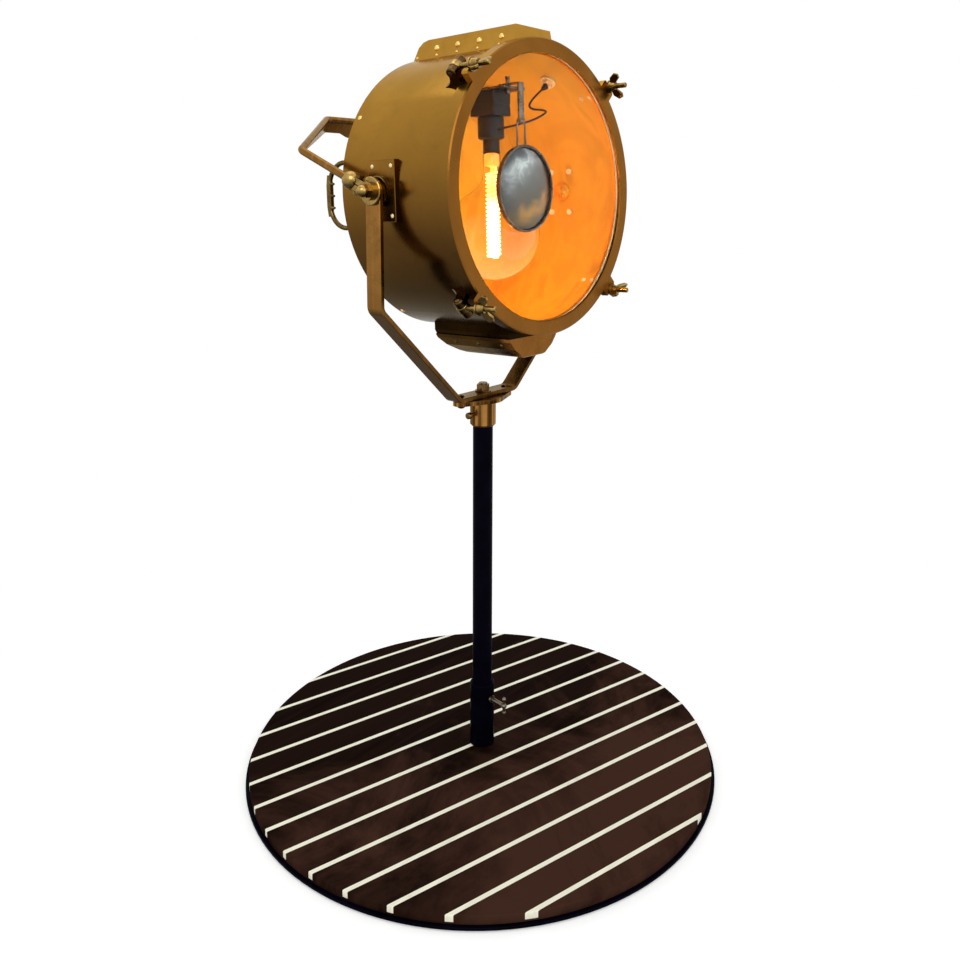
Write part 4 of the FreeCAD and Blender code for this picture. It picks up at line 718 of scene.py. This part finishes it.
    def rubber(self):
        f = Finish("rubber_black", roughness=0.75)
        clouds = [(0.3, (0.015, 0.015, 0.016)), (0.7, (0.035, 0.034, 0.034))]
        f.set(Base_Color=f.ramp(f.noise(80.0, 4.0), clouds))
        f.bump(f.noise(500.0, 2.0), 0.0001, 0.5)
        return f.material

    def seal(self, tints):
        f = Finish("pale_seal", roughness=0.6)
        f.set(Base_Color=f.ramp(f.noise(70.0, 4.0), [(0.3, tinted(tints.seal, 0.7)), (0.7, tints.seal)]))
        f.bump(f.noise(300.0, 2.0), 0.0001, 0.5)
        return f.material

    def clear_glass(self):
        """Front glass with faint smears in its gloss, and a low IOR that keeps it free of a veil."""
        f = Finish("clear_glass")
        f.set(Base_Color=(0.98, 0.99, 0.98, 1.0), IOR=1.10, Transmission_Weight=1.0)
        f.set(Roughness=f.span(f.noise(9.0, 6.0, 0.6, 0.8), 0.55, 0.8, 0.004, 0.03))
        return f.material

    def bulb_glass(self):
        """Thin glass with a painted amber glow round the lower part of the filament."""
        f = Finish("bulb_glass")
        f.set(Base_Color=(1.0, 0.96, 0.88, 1.0), IOR=1.3, Transmission_Weight=1.0)
        f.set(Roughness=f.span(f.noise(9.0, 6.0), 0.3, 0.7, 0.0, 0.02))
        # Painted glow: the glass emits light, strongest low down
        lit = f.span(f.lamp_height(), -0.125, -0.03, 1.0, 0.0)
        f.set(Emission_Color=f.ramp(lit, [(0.0, (1.0, 0.42, 0.08)), (1.0, (1.0, 0.78, 0.34))]))
        f.set(Emission_Strength=f.times(lit, 0.12))
        return f.material

    def stem_glass(self):
        """Glass stem inside the coil, with a painted glow that is white low down and amber at the neck."""
        f = Finish("stem_glass", roughness=0.1)
        f.set(Base_Color=(1.0, 0.6, 0.2, 1.0), IOR=1.45, Transmission_Weight=0.5)
        # Painted glow: the stem emits bright white light low down and a faint amber glow above
        painted_glow_low = f.span(f.lamp_height(), -0.040, -0.005, 1.0, 0.0)
        flicker = f.ramp(f.noise(90.0, 2.0), [(0.35, (0.95, 0.22, 0.01)), (0.65, (1.0, 0.48, 0.08))])
        f.set(Emission_Color=f.blend(painted_glow_low, flicker, (1.0, 0.80, 0.45)))
        f.set(Emission_Strength=f.plus(f.times(painted_glow_low, 12.0), 0.7))
        return f.material

    def mirror(self):
        """Domed mirror with painted reflections: dark towards its rim, amber low down where the drum tints
        it, and a pale band high on it.
        """
        f = Finish("silvered_mirror", metallic=1.0)
        from_middle = f.vector_math("SUBTRACT", "Vector", f.place, tuple(MIRROR_MIDDLE))
        # Painted reflection: slanted bands of amber, dark grey and a pale highlight, their edges moved by
        # noise
        slant = f.plus(f.along("Z", from_middle), f.times(f.along("X", from_middle), -0.45))
        smears = f.span(f.noise(32.0, 5.0, 0.6, 1.6), 0.3, 0.7, -0.10, 0.10)
        tone = f.ramp(f.plus(f.span(slant, -0.055, 0.055, 0.0, 1.0), smears), [
            (0.08, (0.30, 0.20, 0.10)), (0.20, (0.48, 0.27, 0.09)), (0.38, (0.15, 0.135, 0.11)),
            (0.58, (0.19, 0.19, 0.18)), (0.72, (0.34, 0.36, 0.36)), (0.84, (0.66, 0.72, 0.72)),
            (0.96, (0.16, 0.18, 0.19))])
        # Painted reflection: the mirror darkens towards its rim
        rim = f.span(f.vector_math("LENGTH", "Value", from_middle), 0.034, 0.053, 0.0, 0.85)
        f.set(Base_Color=f.blend(rim, tone, (0.055, 0.055, 0.055)))
        f.set(Roughness=f.span(f.noise(70.0, 5.0), 0.3, 0.7, 0.04, 0.14))
        return f.material

    def glow(self, tints, brightness):
        """Hot wire, brightest along the lower part of the coil."""
        f = Finish("filament_glow", roughness=0.4)
        heat = f.span(f.along("Z"), 0.775, 0.815, 1.0, 0.22)
        f.set(Base_Color=(0.9, 0.6, 0.3, 1.0))
        f.set(Emission_Color=f.ramp(heat, [(0.2, (1.0, 0.42, 0.10)), (0.9, tints.glow)]))
        f.set(Emission_Strength=f.times(heat, brightness))
        return f.material

    def sleeve(self):
        f = Finish("sleeve_brown", roughness=0.6)
        clouds = [(0.3, (0.018, 0.009, 0.005)), (0.7, (0.05, 0.025, 0.013))]
        f.set(Base_Color=f.ramp(f.noise(150.0, 4.0), clouds))
        f.bump(f.noise(900.0, 2.0), 0.0001, 0.6)
        return f.material


finishes = {}


class LAMP_OT_lead(bpy.types.Operator):
    """Make the sleeved lead between the fitting in the drum's wall and the lamp holder"""

    bl_idname = "lamp.lead"
    bl_label = "Lamp lead"

    def execute(self, context):
        sizes = context.scene.lamp_sizes
        wall = Vector((math.cos(FITTING_ANGLE), 0.0, math.sin(FITTING_ANGLE)))
        start = wall * (DRUM_RADIUS - DRUM_WALL - FITTING_DEPTH) + Vector((0.0, FITTING_Y, 0.0))
        route = [start] + [Vector(point) for point in LEAD_ROUTE]
        data = bpy.data.curves.new("lamp_lead_sleeve", "CURVE")
        data.dimensions = "3D"
        data.bevel_depth = sizes.lead_radius
        data.bevel_resolution = 6
        data.resolution_u = 24
        data.use_fill_caps = True
        spline = data.splines.new("NURBS")
        spline.points.add(len(route) - 1)
        for point, at in zip(spline.points, route):
            point.co = (*(HEAD @ at), 1.0)
        spline.order_u = 3
        spline.use_endpoint_u = True
        lead = bpy.data.objects.new("lamp_lead_sleeve", data)
        context.scene.collection.objects.link(lead)
        data.materials.append(finishes["sleeve"])
        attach(lead, "head")
        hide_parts("lamp_lead")
        return {"FINISHED"}


class LAMP_OT_bulb(bpy.types.Operator):
    """Make the globe bulb with its neck, stem and glowing coil"""

    bl_idname = "lamp.bulb"
    bl_label = "Globe bulb"

    def execute(self, context):
        sizes = context.scene.lamp_sizes
        self.globe(sizes)
        self.coil(sizes)
        return {"FINISHED"}

    def globe_outline(self, sizes, depth):
        """Half outline of the globe at a depth in its glass, from its foot to the top of its neck."""
        neck = sizes.neck_radius - depth
        points = arc(GLOBE_HEIGHT, sizes.globe_radius - depth, -90, SHOULDER_ANGLE, ARC_STEPS)
        shoulder = points[-1]
        slope = math.radians(SHOULDER_ANGLE)
        low = Vector((neck, 0.0, NECK_LOW))
        a = shoulder + Vector((-math.sin(slope), 0.0, math.cos(slope))) * SHOULDER_PULL
        b = low - Vector((0.0, 0.0, NECK_PULL))
        for i in range(1, SHOULDER_STEPS + 1):
            t = i / SHOULDER_STEPS
            s = 1 - t
            points.append(shoulder * s ** 3 + a * 3 * t * s ** 2 + b * 3 * t * t * s + low * t ** 3)
        points.append(Vector((neck, 0.0, NECK_TOP - NECK_TAPER_HEIGHT)))
        points.append(Vector((neck - NECK_TAPER, 0.0, NECK_TOP)))
        return points

    def globe(self, sizes):
        bm = bmesh.new()
        inner = self.globe_outline(sizes, sizes.globe_wall)
        lathe(bm, self.globe_outline(sizes, 0.0) + inner[::-1], GLOBE_STEPS)
        glass_faces = len(bm.faces)
        lathe(bm, [(radius, 0.0, height) for radius, height in STEM_OUTLINE], STEM_STEPS)
        bm.faces.ensure_lookup_table()
        for face in bm.faces[glass_faces:]:
            face.material_index = 1
        bulb = finish_bulb_piece("bulb_globe", bm, finishes["bulb_glass"],
                                 node="bulb_glass")
        bulb.data.materials.append(finishes["stem_glass"])
        bulb.visible_shadow = False

    def coil(self, sizes):
        turns = (COIL_HIGH - COIL_LOW) / sizes.coil_pitch
        steps = int(turns * COIL_STEPS)
        bm = bmesh.new()
        made = bmesh.ops.create_circle(bm, segments=WIRE_SIDES, radius=sizes.wire_radius)
        bmesh.ops.rotate(bm, verts=made["verts"], cent=(0, 0, 0), matrix=FACING_ROUND)
        bmesh.ops.translate(bm, verts=made["verts"], vec=(sizes.coil_radius, 0, COIL_LOW))
        ring = made["verts"] + list({e for v in made["verts"] for e in v.link_edges})
        bmesh.ops.spin(bm, geom=ring, cent=(0, 0, 0), axis=(0, 0, 1), steps=steps,
                       dvec=(0, 0, (COIL_HIGH - COIL_LOW) / steps), angle=math.tau * turns)
        ends = [e for e in bm.edges if e.is_boundary]
        bmesh.ops.holes_fill(bm, edges=ends, sides=WIRE_SIDES)
        self.wire(bm, sizes, (0.0, 0.0, (COIL_LOW + FOOT_WIRE_TOP) / 2), FOOT_WIRE_TOP - COIL_LOW)
        self.wire(bm, sizes, (sizes.coil_radius, 0.0, (COIL_HIGH + NECK_WIRE_TOP) / 2),
                  NECK_WIRE_TOP - COIL_HIGH)
        self.wire(bm, sizes, (sizes.coil_radius / 2, 0.0, COIL_LOW), sizes.coil_radius, SIDEWAYS)
        finish_bulb_piece("filament_coil", bm, finishes["glow"], node="filament")

    def wire(self, bm, sizes, middle, span, turned=UPRIGHT):
        made = bmesh.ops.create_cone(bm, cap_ends=True, segments=WIRE_SIDES, radius1=sizes.wire_radius,
                                     radius2=sizes.wire_radius, depth=span)
        bmesh.ops.rotate(bm, verts=made["verts"], cent=(0, 0, 0), matrix=turned)
        bmesh.ops.translate(bm, verts=made["verts"], vec=middle)


# Finish of each CAD piece that stays
CORNERS = ("ur", "ul", "ll", "lr")
NODE_FINISHES = {
    "rubber": ["foot_pads"],
    "seal": ["glass_gasket"],
    "paint": ["plinth", "post_socket", "post"],
    "wood": ["deck_planks"],
    "inlay": ["deck_strips"],
    "steel": ["socket_screws", "socket_clamp_screw", "post_plug", "lamp_bracket", "bracket_screw",
              "mirror_rim", "mirror_hanger"],
    "bright_brass": ["bail_hubs", "cap_nuts"],
    "clamp_brass": [kind + corner for kind in ("eyebolt_", "wing_nut_") for corner in CORNERS],
    "lit_brass": ["lug_rivets", "pad_screws", "wall_fitting"],
    "dark_brass": ["pull_handle", "clamp_pins", "box_rivets", "friction_discs", "pinch_bolts"],
    "bronze": ["post_nut", "flange_bolts", "collar_set_screw", "retainer_screws", "clamp_lugs"],
    "box_neck": ["box_neck"],
    "box_pan": ["box_pan"],
    "yoke_brass": ["yoke_collar", "yoke", "bail_handle"],
    "drum": ["drum_shell", "back_cover"],
    "aged_brass": ["vent_hood"],
    "pad_brass": ["trunnion_pads"],
    "rivets": ["hood_rivets", "rim_screws", "trunnion_shafts"],
    "ring_brass": ["front_ring"],
    "inner_brass": ["glass_retainer"],
    "clear_glass": ["front_glass"],
    "holder": ["holder_block", "holder_skirt", "bulb_cap", "lead_grommet"],
    "mirror": ["aux_mirror"],
}


class LAMP_OT_dress(bpy.types.Operator):
    """Give every CAD piece that stays its finish"""

    bl_idname = "lamp.dress"
    bl_label = "Dress the solids"

    def execute(self, context):
        for finish, nodes in NODE_FINISHES.items():
            for node in nodes:
                materials = frame["nodes"][node].data.materials
                materials.clear()
                materials.append(finishes[finish])
        return {"FINISHED"}


class LAMP_PT_panel(bpy.types.Panel):
    """Buttons for the lamp's pieces and fields for its settings"""

    bl_label = "Searchlight lamp"
    bl_space_type = "VIEW_3D"
    bl_region_type = "UI"
    bl_category = "Lamp"

    def draw(self, context):
        for operator in OPERATORS:
            self.layout.operator(operator.bl_idname)
        for group in (context.scene.lamp_colours, context.scene.lamp_sizes, context.scene.lamp_stage):
            box = self.layout.box()
            for name in group.__annotations__:
                box.prop(group, name)


OPERATORS = [LAMP_OT_stage, LAMP_OT_finishes, LAMP_OT_lead, LAMP_OT_bulb, LAMP_OT_dress]
GROUPS = [LampColours, LampSizes, StageSettings]


def register():
    for cls in GROUPS + OPERATORS + [LAMP_PT_panel]:
        bpy.utils.register_class(cls)
    bpy.types.Scene.lamp_colours = bpy.props.PointerProperty(type=LampColours)
    bpy.types.Scene.lamp_sizes = bpy.props.PointerProperty(type=LampSizes)
    bpy.types.Scene.lamp_stage = bpy.props.PointerProperty(type=StageSettings)


def unregister():
    del bpy.types.Scene.lamp_stage
    del bpy.types.Scene.lamp_sizes
    del bpy.types.Scene.lamp_colours
    for cls in reversed(GROUPS + OPERATORS + [LAMP_PT_panel]):
        bpy.utils.unregister_class(cls)


def main():
    register()
    bpy.ops.lamp.stage()
    bpy.ops.lamp.finishes()
    bpy.ops.lamp.lead()
    bpy.ops.lamp.bulb()
    bpy.ops.lamp.dress()


if __name__ == "__main__":
    main()
